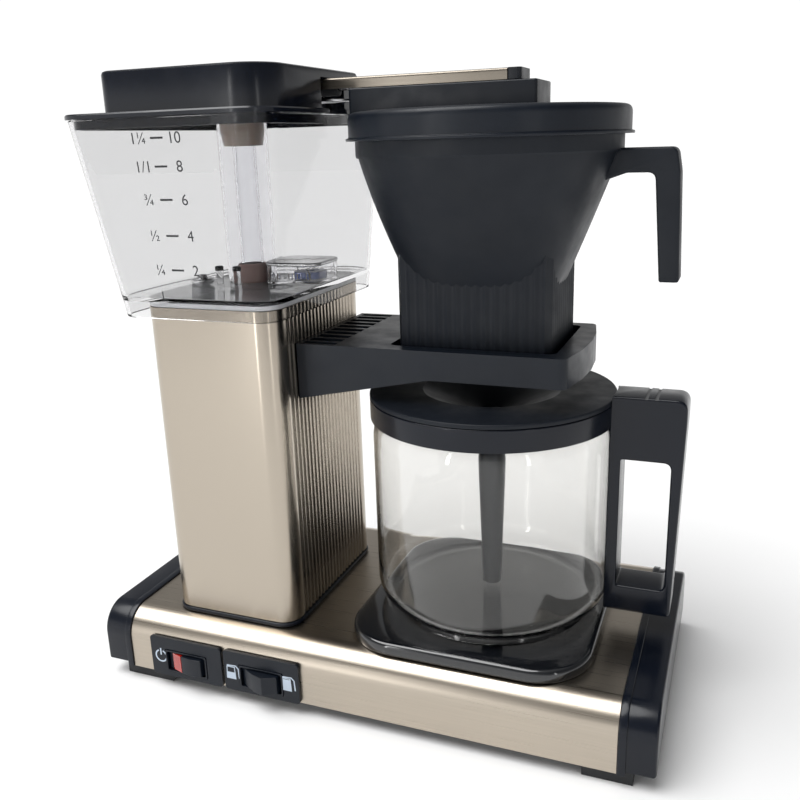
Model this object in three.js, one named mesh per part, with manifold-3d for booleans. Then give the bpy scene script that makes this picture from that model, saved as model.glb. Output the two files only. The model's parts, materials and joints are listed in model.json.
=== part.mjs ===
// Drip coffee brewer with a boiler tower, a clear water tank, a filter basket and a glass carafe.
// Millimetres. +X runs from the tower to the carafe, +Y to the rear, +Z up.
// The origin is the centre of the footprint, on the surface that the feet stand on.

import * as THREE from 'three';
import { LoftGeometry } from 'three/addons/geometries/LoftGeometry.js';
import { mergeVertices } from 'three/addons/utils/BufferGeometryUtils.js';
import Module from 'manifold-3d';

const wasm = await Module();
wasm.setup();

// ---- Driving dimensions ----

const GAP = 0.3; // clearance between two pieces that touch
const ROUND = 36; // facets round a large circle
const SMALL_ROUND = 16; // facets round a small circle
const BEND_STEPS = 4; // facets along a quarter bend

// Base
const BASE_LENGTH = 320;
const BASE_DEPTH = 164;
const BASE_TOP = 42.4;
const COVER_BOTTOM = 7.5;
const COVER_RADIUS = 16;
const COVER_SHEET = 1.2;
const END_CAP_WIDTH = 18.5;
const END_CAP_FLANGE = 4;
const END_CAP_LIP = 1;
const END_CAP_BOTTOM = 9.5;
const END_CAP_WALL = 2.4;
const PAN_THICKNESS = 2;
const PAN_SLOT_COUNT = 9;
const PAN_SLOT_PITCH = 12;
const PAN_SLOT_WIDTH = 4;
const PAN_SLOT_LENGTH = 60;
const LEFT_FOOT_LENGTH = 36;
const RIGHT_FOOT_LENGTH = 25;
const FOOT_DEPTH = 30;
const FOOT_END_INSET = 11; // from the end of the base
const FOOT_FRONT_INSET = 3;
const FOOT_STUD_RADIUS = 3;
const GLAND_X = -60;
const GLAND_Z = 21;
const GLAND_RADIUS = 6.5;
const GLAND_FLANGE_RADIUS = 9;
const GLAND_FLANGE = 2;
const GLAND_BORE = 3.6;

// Switches on the front wall
const POWER_X = -102.3;
const SELECTOR_X = -53;
const SWITCH_PLATE_WIDTH = 47.6;
const SWITCH_PLATE_HEIGHT = 24.8;
const SWITCH_PLATE_THICKNESS = 1.8;
const SWITCH_PLATE_CORNER = 2;
const SWITCH_PLATE_Z = 20;
const ROCKER_WIDTH = 23.6;
const ROCKER_HEIGHT = 10.8;
const ROCKER_Z = 17.8;
const ROCKER_TILT = 9; // degrees, to either side of level
const ROCKER_RIDGE = 0.4; // its place along the right half
const ROCKER_DEPTH = 4; // from its pivot to the front of the plate
const POWER_ROCKER_BULGE = 1.8;
const SELECTOR_ROCKER_BULGE = 4.4;
const ROCKER_CLEARANCE = 0.6; // above and below a rocker
const ROCKER_END_CLEARANCE = 1; // room for its ends to swing
const SWITCH_BODY_WALL = 1;
const SWITCH_BODY_DEPTH = 20;
const SWITCH_BEZEL = 0.4;
const LENS_LEFT = -8.9; // from the rocker's middle
const LENS_WIDTH = 7.5;

// Hot plate
const PLATE_X = 56.5;
const PLATE_Y = -6;
const PLATE_WIDTH = 133;
const PLATE_DEPTH = 136;
const PLATE_CORNER = 30;
const PLATE_HEIGHT = 7; // above the base
const PLATE_SHEET = 2.4;
const PLATE_DISC_RADIUS = 55;
const PLATE_MOAT_WIDTH = 8;
const PLATE_MOAT_DEPTH = 2;
const PLATE_HOLE_RADIUS = 50;
const HEATER_RING_RADIUS = 38;
const HEATER_ROD_RADIUS = 3.5;
const THERMOSTAT_RADIUS = 8;
const THERMOSTAT_HEIGHT = 9;

// Tower
const TOWER_X = -78.55;
const TOWER_Y = -12;
const TOWER_WIDTH = 79;
const TOWER_DEPTH = 110.4;
const TOWER_CORNER = 11;
const TOWER_SHEET = 1.2;
const GASKET_HEIGHT = 2.4;
const GASKET_LIP = 0.8;
const GASKET_WIDTH = 5;
const FLUTE_COUNT = 20;
const FLUTE_PITCH = 4.2;
const FLUTE_DEPTH = 0.7;
const CAP_PLATE = 2.4;
const CAP_PLUG = 4;

// Water tank and its lid
const TANK_HEIGHT = 101.7;
const TANK_OVERLAP = 6; // how far the tank's skirt reaches down over the tower
const TANK_FLOOR_HEIGHT = 5; // the inside of the tank above the top of the tower
const TANK_WALL = 1.8;
const TANK_FLOOR_SHEET = 2;
const TANK_LEFT_OVERHANG = 14.5; // past the tower, at the bottom of the tank
const TANK_REAR_OVERHANG = 17;
const TANK_FIT = 0.4; // between the tower and the tank's skirt
const TANK_LEAN_LEFT = 16.5; // how far each wall leans out towards the top
const TANK_LEAN_RIGHT = 7.5;
const TANK_LEAN_FRONT = 10.2;
const TANK_LEAN_REAR = 10;
const TANK_CORNER = 16; // at the top; the bottom follows the tower
const LID_FLANGE = 2.5;
const LID_OVERHANG = 1.2;
const LID_SKIRT = 5;
const LID_WALL = 2;
const LID_BLOCK_HEIGHT = 20.1; // above the lid's flange
const LID_BLOCK_LEFT = -126.5;
const LID_BLOCK_RIGHT = -31;
const LID_BLOCK_FRONT = -72;
const LID_BLOCK_REAR = 38;
const LID_BLOCK_CORNER = 7;
const LID_BLOCK_FRONT_RIGHT_CORNER = 20;
const LID_NOTCH_DEPTH = 11;
const LID_NOTCH_WIDTH = 28;
const LID_SLOT_WIDTH = 21; // lets the lid rise past the outlet arm

// Water path: check valve, boiler, riser
const RISER_X = -88;
const INLET_X = -66;
const TUBE_RADIUS = 6.5;
const TUBE_WALL = 1.3;
const BOILER_CLEARANCE = 22.6; // above the base
const BOILER_FACETS = 12;
const BOILER_HEADROOM = 27; // below the top of the tower
const INLET_DROP = 22; // from the boiler's outlet down to its inlet
const ELEMENT_RADIUS = 3.5;
const ELEMENT_DROP = 24; // from the boiler's inlet down to the element's ends
const ELEMENT_SPACING = 0.5;
const SLEEVE_WALL = 2;
const SLEEVE_GRIP = 9;
const VALVE_BODY_RADIUS = 8.5;
const VALVE_BODY_HEIGHT = 13;
const VALVE_SPIGOT = 7;
const VALVE_BALL_RADIUS = 3.6;
const SPOUT_DROP = 12;
const CUTOUT_WIDTH = 10;
const CUTOUT_HEIGHT = 16;
const CUTOUT_DEPTH = 6;
const RISER_REACH = 3.1; // into the elbow
const SEAL_RADIUS = 10;
const SEAL_HEIGHT = 10;
const SEAL_WALL = 2;
const COLUMN_RADIUS = 14.5;
const COLUMN_WALL = 1.5;
const COLUMN_DROP = 2.1; // below the tank's rim
const COLLAR_PLUG = 12.9; // its depth in the column
const COLLAR_FLANGE = 3;

// Float switch chamber in the tank
const FLOAT_BOX_WIDTH = 33;
const FLOAT_BOX_DEPTH = 32;
const FLOAT_BOX_HEIGHT = 10.5;
const FLOAT_BOX_CORNER = 7;
const FLOAT_BOX_WALL = 1.4;
const FLOAT_BOX_SLOTS = 5;
const FLOAT_COVER_SHEET = 1.6;
const FLOAT_POST_X = -51.5;
const FLOAT_POST_RADIUS = 2.6;
const FLOAT_RADIUS = 9;
const FLOAT_HEIGHT = 4.5;
const NUT_X = -119;
const NUT_Y = -7;
const NUT_RADIUS = 7;
const PEG_RADIUS = 2;
const PEG_HEIGHT = 10;
const PEG_Y = -19;
const PEG_FIRST_X = -99;
const PEG_PITCH = 11.5;

// Outlet arm
const ARM_LEFT = -33.5;
const ARM_RIGHT = 74;
const ARM_WIDTH = 20;
const ARM_HEIGHT = 5.4;
const ARM_CLEARANCE = 0.6; // between the arm and the basket's lid
const ARM_RISE = 12.3; // of the arm above the tank's rim
const ARM_SHEET = 0.8;
const ARM_CAP_LENGTH = 6.5;
const ARM_TUBE_DROP = 4; // from the arm's top to the middle of its tube
const ARM_TUBE_RADIUS = 1.6;
const ARM_TUBE_WALL = 0.5;
const ARM_SLEEVE_DROP = 4.9;
const ARM_SLEEVE_RADIUS = 3.7;
const ARM_SLEEVE_END = -27;
const ELBOW_RADIUS = 9.5;
const ELBOW_ROOF = 0.8;
const CLIP_WIRE_RADIUS = 0.9;
const CLIP_DROP = 10.9;
const CLIP_HALF_WIDTH = 6.6;
const CLIP_END = -18;

// Filter basket and its lid
const BASKET_X = 54.7;
const BASKET_HEIGHT = 125.6;
const BASKET_COLLAR_RADIUS = 67.5;
const BASKET_COLLAR_HEIGHT = 18.6;
const BASKET_WALL = 2;
const CONE_TOP_RADIUS = 66.4;
const CONE_CLEARANCE = 16; // from the basket's foot up to its cone
const CONE_BOTTOM_HALF_WIDTH = 29.2;
const CONE_BOTTOM_HALF_DEPTH = 16.4;
const CONE_STEPS = 5;
const BOX_WIDTH = 80.6;
const BOX_DEPTH = 64;
const BOX_HEIGHT = 71;
const BOX_CORNER = 2.5;
const RIB_PITCH = 5;
const RIB_DEPTH = 0.8;
const SPOUT_RADIUS = 9;
const SPOUT_WALL = 2;
const SPOUT_REACH = 6; // below the basket's foot
const BASKET_HANDLE_DROP = 18.1; // below the basket's rim
const BASKET_HANDLE_ARM = 11.5;
const BASKET_HANDLE_REACH = 97; // from the basket's axis to the outside of the grip
const BASKET_GRIP_WIDTH = 9.5;
const BASKET_GRIP_HEIGHT = 63.5;
const BASKET_GRIP_LEAN = 4;
const BASKET_HANDLE_WIDTH = 15;
const BASKET_LID_RADIUS = 70.7;
const BASKET_LID_SHEET = 2.1;
const BASKET_LID_SKIRT = 11.4;
const BASKET_LID_RIM = 1.4;
const BASKET_LID_EDGE = 4;
const BLOCK_LEFT = -15;
const BLOCK_RIGHT = 83.2;
const BLOCK_WIDTH = 31.5;
const BLOCK_HEIGHT = 12.4;
const BLOCK_WALL = 2;
const BLOCK_SLOT_LENGTH = 46;
const BLOCK_SLOT_WIDTH = 12;
const DRIP_STEM_RADIUS = 3;
const DRIP_CONE_RADIUS = 8.5;
const DRIP_HEAD = 1.5;
const DRIP_REACH = 9; // below the spout
const DRIP_CLEARANCE = 2; // above the carafe's lid
const DRIP_TRAVEL = 3;
const SPRING_LENGTH = 15;
const SPRING_RADIUS = 5;
const SPRING_WIRE = 0.5;
const SPRING_TURNS = 5;
const BRIDGE_WIDTH = 3; // the bar across the spout that the spring pushes against
const BRIDGE_HEIGHT = 2;

// Basket holder
const HOLDER_HEIGHT = 15.3;
const HOLDER_LEFT = -14.5; // where the neck ends and the tray starts
const HOLDER_END_WALL = 6.8; // past the basket's seat
const HOLDER_BULGE = 4.8;
const HOLDER_FRONT_WALL = 8.8;
const HOLDER_REAR_WALL = 6.8;
const HOLDER_GUSSET = 15.3; // its depth at the tower
const HOLDER_GUSSET_END = 35;
const HOLDER_FLOOR = 3;
const HOLDER_WALL = 2.6;
const HOLDER_SLATS = 9;
const HOLDER_SLAT_WIDTH = 3;
const HOLDER_SLAT_HEIGHT = 2.4;
const HOLDER_SEAT_CLEARANCE = 3.5;
const HOLDER_DRAIN_RADIUS = 22;
const SCREW_RADIUS = 2;
const SCREW_HEAD_RADIUS = 4;
const SCREW_HEAD = 2.4;
const SCREW_GRIP = 9;
const SCREW_SPREAD = 50;

// Carafe
const CARAFE_X = 56.5;
const CARAFE_RADIUS = 66;
const CARAFE_HEIGHT = 118; // of the glass
const CARAFE_GLASS = 1.8;
const CARAFE_HEEL_RADIUS = 15;
const CARAFE_NECK_RADIUS = 61.6;
const CARAFE_SHOULDER = 11;
const CARAFE_NECK = 10;
const BAND_RADIUS = 67.1;
const BAND_HEIGHT = 12;
const CARAFE_LID_THICKNESS = 2.4;
const CARAFE_LID_PLUG = 9;
const FUNNEL_RADIUS = 37.8;
const FUNNEL_DEPTH = 13;
const FUNNEL_HOLE = 7.5;
const MIXING_TUBE_TOP_RADIUS = 8.6;
const MIXING_TUBE_TIP_RADIUS = 5.2;
const MIXING_TUBE_WALL = 1.4;
const MIXING_TUBE_CLEARANCE = 4.5; // above the inside of the glass
const HANDLE_INNER_LEG = 5.4;
const HANDLE_OUTER_LEG = 6.5;
const HANDLE_REACH = 103.5; // from the carafe's axis to the outside of the handle
const HANDLE_RISE = 5.7; // above the band
const HANDLE_FOOT = 5; // above the carafe's foot
const HANDLE_HEAD = 34; // depth of the handle above its window
const HANDLE_BAR = 15; // depth of the handle below its window
const HANDLE_WIDTH = 22;
const HANDLE_CORNER = 9;

// ---- Worked out from the driving dimensions ----

const coverHalfLength = BASE_LENGTH / 2 - END_CAP_WIDTH;
const coverFront = -BASE_DEPTH / 2;
const panTop = COVER_BOTTOM + PAN_THICKNESS;
const plateTop = BASE_TOP + GAP + PLATE_HEIGHT;
const plateCeiling = plateTop - PLATE_MOAT_DEPTH - PLATE_SHEET;
const switchBodyWidth = ROCKER_WIDTH + 2 * (ROCKER_END_CLEARANCE + SWITCH_BODY_WALL);
const switchBodyHeight = ROCKER_HEIGHT + 2 * (ROCKER_CLEARANCE + SWITCH_BODY_WALL);
const plateFront = coverFront - GAP - SWITCH_PLATE_THICKNESS;

// Carafe, on the hot plate
const carafeBottom = plateTop + GAP;
const carafeShoulderTop = carafeBottom + CARAFE_HEIGHT - CARAFE_NECK;
const bandBottom = carafeShoulderTop + GAP;
const bandTop = bandBottom + BAND_HEIGHT;
const carafeLidTop = bandTop + GAP + CARAFE_LID_THICKNESS;
const handleTop = bandTop + HANDLE_RISE;
const handleBottom = carafeBottom + HANDLE_FOOT;
const windowTop = handleTop - HANDLE_HEAD;
const windowBottom = handleBottom + HANDLE_BAR;

// Basket and its holder, above the carafe
const dripTip = carafeLidTop + DRIP_CLEARANCE;
const spoutBottom = dripTip + DRIP_REACH;
const basketBottom = spoutBottom + SPOUT_REACH;
const holderSeat = basketBottom - GAP;
const holderBottom = holderSeat - HOLDER_FLOOR;
const holderTop = holderBottom + HOLDER_HEIGHT;
const gussetBottom = holderBottom - HOLDER_GUSSET;
const holderRight = BASKET_X + BOX_WIDTH / 2 + HOLDER_SEAT_CLEARANCE + HOLDER_END_WALL;
const holderFront = -BOX_DEPTH / 2 - HOLDER_SEAT_CLEARANCE - HOLDER_FRONT_WALL;
const holderRear = BOX_DEPTH / 2 + HOLDER_SEAT_CLEARANCE + HOLDER_REAR_WALL;
const basketTop = basketBottom + BASKET_HEIGHT;
const collarFoot = basketTop - BASKET_COLLAR_HEIGHT;
const coneBottom = basketBottom + CONE_CLEARANCE;
const boxTop = basketBottom + BOX_HEIGHT;
const basketHandleTop = basketTop - BASKET_HANDLE_DROP;
const basketGripBottom = basketHandleTop - BASKET_GRIP_HEIGHT;
const basketLidTop = basketTop + GAP + BASKET_LID_SHEET;
const basketLidBottom = basketTop - BASKET_LID_SKIRT;
const blockTop = basketLidTop + BLOCK_HEIGHT;

// Outlet arm, just above the basket's lid
const armBottom = blockTop + ARM_CLEARANCE;
const armTop = armBottom + ARM_HEIGHT;
const armTubeZ = armTop - ARM_TUBE_DROP;
const armSleeveZ = armTop - ARM_SLEEVE_DROP;
const clipZ = armTop - CLIP_DROP;

// Tank and tower, at the height that the arm needs
const tankTop = armBottom - ARM_RISE;
const tankBottom = tankTop - TANK_HEIGHT;
const towerTop = tankBottom + TANK_OVERLAP;
const tankFloor = towerTop + TANK_FLOOR_HEIGHT;
const tankFloorBottom = tankFloor - TANK_FLOOR_SHEET;
const lidFlangeBottom = tankTop + GAP;
const lidFlangeTop = lidFlangeBottom + LID_FLANGE;
const lidBlockTop = lidFlangeTop + LID_BLOCK_HEIGHT;
const towerBottom = BASE_TOP + GAP + GASKET_HEIGHT + GAP;
const towerRight = TOWER_X + TOWER_WIDTH / 2;
const towerInnerWidth = TOWER_WIDTH - 2 * (TOWER_SHEET + FLUTE_DEPTH);
const towerInnerDepth = TOWER_DEPTH - 2 * TOWER_SHEET;
const capTop = towerTop + GAP + CAP_PLATE;

// Water path inside the tower and the tank
const tubeBore = TUBE_RADIUS - TUBE_WALL;
const sleeveRadius = TUBE_RADIUS + GAP + SLEEVE_WALL;
const boilerBottom = towerBottom + BOILER_CLEARANCE;
const boilerTop = towerTop - BOILER_HEADROOM;
const boilerInletTop = boilerTop - INLET_DROP;
const elementTop = boilerInletTop - ELEMENT_DROP;
const columnTop = tankTop - COLUMN_DROP;
const collarBottom = columnTop - COLLAR_PLUG;
const collarTop = columnTop + GAP + COLLAR_FLANGE;
const riserTop = collarTop + RISER_REACH;
const floatBoxX = RISER_X + COLUMN_RADIUS + 1 + FLOAT_BOX_WIDTH / 2;

// ---- Materials ----

function finish(color, roughness, metalness, opacity = 1) {
  return new THREE.MeshStandardMaterial({
    color,
    roughness,
    metalness,
    opacity,
    transparent: opacity < 1,
  });
}

const champagne = () => finish(0xbeb4a0, 0.35, 1);
const steel = () => finish(0xc4c6c6, 0.3, 1);
const copper = () => finish(0xb87550, 0.35, 1);
const satinPlastic = () => finish(0x282d37, 0.5, 0);
const glossPlastic = () => finish(0x14161c, 0.15, 0);
const enamel = () => finish(0x101114, 0.12, 0);
const rubber = () => finish(0x1a1b1e, 0.85, 0);
const silicone = () => finish(0xa5968c, 0.6, 0);
const clearPlastic = () => finish(0xe6e6e4, 0.08, 0, 0.25);
const glass = () => finish(0xf0f4f0, 0.03, 0, 0.2);
const redLens = () => finish(0xc83232, 0.25, 0);
const bluePlastic = () => finish(0x3c5c86, 0.4, 0);

// ---- Solids ----

const X_AXIS = new THREE.Vector3(1, 0, 0);
const Y_AXIS = new THREE.Vector3(0, 1, 0);
const Z_AXIS = new THREE.Vector3(0, 0, 1);
const ACROSS = new THREE.Matrix4().makeBasis(Y_AXIS, Z_AXIS, X_AXIS);
const FORWARD = new THREE.Matrix4().makeBasis(X_AXIS, Z_AXIS, Y_AXIS.clone().negate());

function solid(geometry) {
  const bare = new THREE.BufferGeometry();
  bare.setAttribute('position', geometry.getAttribute('position'));
  bare.setIndex(geometry.index);
  const merged = mergeVertices(bare, 1e-4);
  const index = merged.index.array;
  const corners = [];
  for (let i = 0; i < index.length; i += 3) {
    const [a, b, c] = [index[i], index[i + 1], index[i + 2]];
    if (a !== b && b !== c && c !== a) corners.push(a, b, c);
  }
  const build = (triVerts) => {
    const vertProperties = merged.attributes.position.array;
    return new wasm.Manifold(new wasm.Mesh({ numProp: 3, vertProperties, triVerts }));
  };
  const made = build(new Uint32Array(corners));
  return made.volume() > 0 ? made : build(new Uint32Array(corners.reverse()));
}

function geometryOf(manifold) {
  const mesh = manifold.getMesh();
  const indexed = new THREE.BufferGeometry();
  indexed.setAttribute('position', new THREE.BufferAttribute(mesh.vertProperties, 3));
  indexed.setIndex(new THREE.BufferAttribute(mesh.triVerts, 1));
  const flat = indexed.toNonIndexed();
  flat.computeVertexNormals();
  return flat;
}

// A shape drawn in plan, thickened upwards.
function upright(shape, bottom, top, curveSegments = BEND_STEPS) {
  const options = { depth: top - bottom, bevelEnabled: false, curveSegments };
  return solid(new THREE.ExtrudeGeometry(shape, options).translate(0, 0, bottom));
}

// A shape drawn in (y, z), thickened along X.
function across(shape, left, right) {
  const options = { depth: right - left, bevelEnabled: false, curveSegments: BEND_STEPS };
  const geometry = new THREE.ExtrudeGeometry(shape, options);
  return solid(geometry.applyMatrix4(ACROSS).translate(left, 0, 0));
}

// A shape drawn in (x, z), thickened along Y.
function lengthwise(shape, front, rear) {
  const options = { depth: rear - front, bevelEnabled: false, curveSegments: BEND_STEPS };
  const geometry = new THREE.ExtrudeGeometry(shape, options);
  return solid(geometry.applyMatrix4(FORWARD).translate(0, rear, 0));
}

// A profile of [radius, height] points, turned about a vertical axis.
function turned(profile, facets = SMALL_ROUND) {
  const points = profile.map(([radius, height]) => new THREE.Vector2(radius, height));
  const onAxis = profile[0][0] === 0 && profile[profile.length - 1][0] === 0;
  if (!onAxis) points.push(points[0].clone());
  return solid(new THREE.LatheGeometry(points, facets).rotateX(Math.PI / 2));
}

function box(left, right, front, rear, bottom, top) {
  const geometry = new THREE.BoxGeometry(right - left, rear - front, top - bottom);
  return solid(geometry.translate((left + right) / 2, (front + rear) / 2, (bottom + top) / 2));
}

function cylinder(radius, bottom, top, x = 0, y = 0, facets = SMALL_ROUND) {
  const geometry = new THREE.CylinderGeometry(radius, radius, top - bottom, facets);
  return solid(geometry.rotateX(Math.PI / 2).translate(x, y, (bottom + top) / 2));
}

function cylinderAcross(radius, left, right, y, z) {
  const geometry = new THREE.CylinderGeometry(radius, radius, right - left, SMALL_ROUND);
  return solid(geometry.rotateZ(Math.PI / 2).translate((left + right) / 2, y, z));
}

function cylinderLengthwise(radius, front, rear, x, z) {
  const geometry = new THREE.CylinderGeometry(radius, radius, rear - front, SMALL_ROUND);
  return solid(geometry.translate(x, (front + rear) / 2, z));
}

function ring(outer, inner, bottom, top, facets = SMALL_ROUND) {
  return turned([[inner, bottom], [outer, bottom], [outer, top], [inner, top]], facets);
}

function tube(path, outer, inner, steps, sides = 12) {
  const section = new THREE.Shape();
  section.absarc(0, 0, outer, 0, 2 * Math.PI);
  if (inner > 0) {
    const bore = new THREE.Path();
    bore.absarc(0, 0, inner, 0, 2 * Math.PI, true);
    section.holes.push(bore);
  }
  const options = { steps, curveSegments: sides, extrudePath: path };
  return solid(new THREE.ExtrudeGeometry(section, options));
}

// A rounded rectangle. Its corners run front right, rear right, rear left, front left.
function roundedRectangle(left, right, front, rear, corners) {
  const [frontRight, rearRight, rearLeft, frontLeft] =
    typeof corners === 'number' ? [corners, corners, corners, corners] : corners;
  const quarter = Math.PI / 2;
  const shape = new THREE.Shape();
  shape.absarc(right - frontRight, front + frontRight, frontRight, -quarter, 0);
  shape.absarc(right - rearRight, rear - rearRight, rearRight, 0, quarter);
  shape.absarc(left + rearLeft, rear - rearLeft, rearLeft, quarter, 2 * quarter);
  shape.absarc(left + frontLeft, front + frontLeft, frontLeft, 2 * quarter, 3 * quarter);
  shape.closePath();
  return shape;
}

function centredRectangle(x, y, width, depth, corner) {
  return roundedRectangle(x - width / 2, x + width / 2, y - depth / 2, y + depth / 2, corner);
}

function polygon(points) {
  return new THREE.Shape(points.map(([a, b]) => new THREE.Vector2(a, b)));
}

// Skins plan outlines, each a shape at its own height.
function lofted(levels) {
  const sections = levels.map(([shape, height]) => {
    const points = shape.getPoints(BEND_STEPS).slice(0, -1);
    return points.map((point) => new THREE.Vector3(point.x, point.y, height));
  });
  return solid(new LoftGeometry(sections, { capStart: true, capEnd: true }));
}

function join(first, ...others) {
  return others.reduce((whole, piece) => whole.add(piece), first);
}

function cut(first, ...others) {
  return others.reduce((rest, piece) => rest.subtract(piece), first);
}

const brewer = new THREE.Group();

function assembly(parent, x = 0, y = 0, z = 0) {
  const group = new THREE.Group();
  group.position.set(x, y, z);
  parent.add(group);
  return group;
}

function place(group, name, manifold, material) {
  const mesh = new THREE.Mesh(geometryOf(manifold), material);
  mesh.name = name;
  group.add(mesh);
  return mesh;
}

// ---- Base ----

const base = assembly(brewer);

// An inverted U with rounded top corners, in (y, z).
function archShape(halfDepth, bottom, top, radius) {
  const shape = new THREE.Shape();
  shape.moveTo(-halfDepth, bottom);
  shape.lineTo(halfDepth, bottom);
  shape.absarc(halfDepth - radius, top - radius, radius, 0, Math.PI / 2);
  shape.absarc(radius - halfDepth, top - radius, radius, Math.PI / 2, Math.PI);
  shape.closePath();
  return shape;
}

function archBar(grow, bottom, left, right) {
  const shape = archShape(BASE_DEPTH / 2 + grow, bottom, BASE_TOP + grow, COVER_RADIUS + grow);
  return across(shape, left, right);
}

function makeBaseCover() {
  const half = coverHalfLength - GAP;
  const shell = archBar(0, COVER_BOTTOM, -half, half);
  const hollow = archBar(-COVER_SHEET, COVER_BOTTOM - 1, -half - 1, half + 1);
  const towerHole = upright(
    centredRectangle(TOWER_X, TOWER_Y, TOWER_WIDTH - 24, TOWER_DEPTH - 24, TOWER_CORNER),
    BASE_TOP - COVER_RADIUS,
    BASE_TOP + 1,
  );
  const plateHole = cylinder(
    PLATE_HOLE_RADIUS, BASE_TOP - COVER_SHEET - 1, BASE_TOP + 1, PLATE_X, PLATE_Y, ROUND,
  );
  const switchHoles = [POWER_X, SELECTOR_X].map((x) => switchBodyBar(x, GAP, coverFront - 1, 0));
  const glandHole = cylinderLengthwise(GLAND_RADIUS + GAP, 0, BASE_DEPTH, GLAND_X, GLAND_Z);
  return cut(shell, hollow, towerHole, plateHole, ...switchHoles, glandHole);
}

function footBounds(side, end) {
  const outer = side * (BASE_LENGTH / 2 - FOOT_END_INSET);
  const length = side < 0 ? LEFT_FOOT_LENGTH : RIGHT_FOOT_LENGTH;
  const inner = outer - side * length;
  const near = end * (BASE_DEPTH / 2 - FOOT_FRONT_INSET);
  const far = near - end * FOOT_DEPTH;
  return {
    left: Math.min(inner, outer),
    right: Math.max(inner, outer),
    front: Math.min(near, far),
    rear: Math.max(near, far),
    studX: side * (coverHalfLength - FOOT_STUD_RADIUS * 3),
    studY: (near + far) / 2,
  };
}

const feet = [
  ['foot_front_left', -1, -1],
  ['foot_front_right', 1, -1],
  ['foot_rear_left', -1, 1],
  ['foot_rear_right', 1, 1],
];

function makeBasePan() {
  const halfLength = coverHalfLength - GAP;
  const halfDepth = BASE_DEPTH / 2 - COVER_SHEET - GAP;
  const sheet = box(-halfLength, halfLength, -halfDepth, halfDepth, COVER_BOTTOM, panTop);
  const slots = Array.from({ length: PAN_SLOT_COUNT }, (_, i) => {
    const x = PLATE_X + (i - (PAN_SLOT_COUNT - 1) / 2) * PAN_SLOT_PITCH;
    const half = PAN_SLOT_WIDTH / 2;
    return box(x - half, x + half, -PAN_SLOT_LENGTH / 2, PAN_SLOT_LENGTH / 2, COVER_BOTTOM - 1, panTop + 1);
  });
  const studHoles = feet.map(([, side, end]) => {
    const { studX, studY } = footBounds(side, end);
    return cylinder(FOOT_STUD_RADIUS + GAP, COVER_BOTTOM - 1, panTop + 1, studX, studY);
  });
  return cut(sheet, ...slots, ...studHoles);
}

function makeFoot(side, end) {
  const { left, right, front, rear, studX, studY } = footBounds(side, end);
  const top = COVER_BOTTOM - GAP;
  const chamfer = top * 0.55;
  const profile = side < 0
    ? [[left, 0], [right - chamfer, 0], [right, chamfer], [right, top], [left, top]]
    : [[left, 0], [right, 0], [right, top], [left, top]];
  const pad = lengthwise(polygon(profile), front, rear);
  return join(pad, cylinder(FOOT_STUD_RADIUS, top - 1, panTop + GAP, studX, studY));
}

function makeEndCap(side) {
  const inner = coverHalfLength;
  const outer = BASE_LENGTH / 2;
  const flangeEnd = inner + END_CAP_FLANGE;
  const span = (from, to) => (side > 0 ? [from, to] : [-to, -from]);
  const flange = archBar(END_CAP_LIP, COVER_BOTTOM, ...span(inner, flangeEnd));
  const body = archBar(0, END_CAP_BOTTOM, ...span(flangeEnd - 1, outer));
  const hollow = archBar(
    -END_CAP_WALL, END_CAP_BOTTOM + END_CAP_WALL, ...span(inner - 1, outer - END_CAP_WALL),
  );
  return cut(join(flange, body), hollow);
}

// ---- Switches ----

function switchBodyBar(x, grow, front, rear) {
  const shape = centredRectangle(
    x, ROCKER_Z, switchBodyWidth + 2 * grow, switchBodyHeight + 2 * grow, SWITCH_BODY_WALL,
  );
  return lengthwise(shape, front, rear);
}

function makeSwitchPlate(x) {
  const shape = centredRectangle(
    x, SWITCH_PLATE_Z, SWITCH_PLATE_WIDTH, SWITCH_PLATE_HEIGHT, SWITCH_PLATE_CORNER,
  );
  const plate = lengthwise(shape, plateFront, coverFront - GAP);
  return cut(plate, switchBodyBar(x, GAP, plateFront - 1, coverFront + 1));
}

function makeSwitchBody(x) {
  const front = plateFront - SWITCH_BEZEL;
  const body = switchBodyBar(x, 0, front, front + SWITCH_BODY_DEPTH);
  const pocketRear = front + SWITCH_BODY_DEPTH - 2 * SWITCH_BODY_WALL;
  const pocket = switchBodyBar(x, -SWITCH_BODY_WALL, front - 1, pocketRear);
  return cut(body, pocket);
}

// The rocker's outline seen from above, about its pivot: a low roof with its ridge off centre.
function rockerOutline(bulge) {
  const half = ROCKER_WIDTH / 2;
  const end = ROCKER_DEPTH + SWITCH_BEZEL;
  return polygon([
    [-half, -end],
    [-half / 2, -end - bulge * 0.56],
    [-half / 8, -end - bulge * 0.86],
    [half * ROCKER_RIDGE, -end - bulge],
    [half, -end],
    [half, 0],
    [half / 3, ROCKER_DEPTH],
    [-half / 3, ROCKER_DEPTH],
    [-half, 0],
  ]);
}

function tilted(manifold, x) {
  return manifold.rotate([0, 0, -ROCKER_TILT]).translate([x, plateFront + ROCKER_DEPTH, ROCKER_Z]);
}

function lensPocket(bulge, grow) {
  const front = -ROCKER_DEPTH - SWITCH_BEZEL - bulge - 1;
  return box(
    LENS_LEFT - grow, LENS_LEFT + LENS_WIDTH + grow, front, -ROCKER_DEPTH / 2 + grow,
    -ROCKER_HEIGHT, ROCKER_HEIGHT,
  );
}

function makeRocker(x, bulge, withLens) {
  const bar = upright(rockerOutline(bulge), -ROCKER_HEIGHT / 2, ROCKER_HEIGHT / 2);
  return tilted(withLens ? cut(bar, lensPocket(bulge, 0)) : bar, x);
}

function makeLens(x, bulge) {
  const bar = upright(rockerOutline(bulge), -ROCKER_HEIGHT / 2, ROCKER_HEIGHT / 2);
  return tilted(bar.intersect(lensPocket(bulge, -GAP)), x);
}

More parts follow.
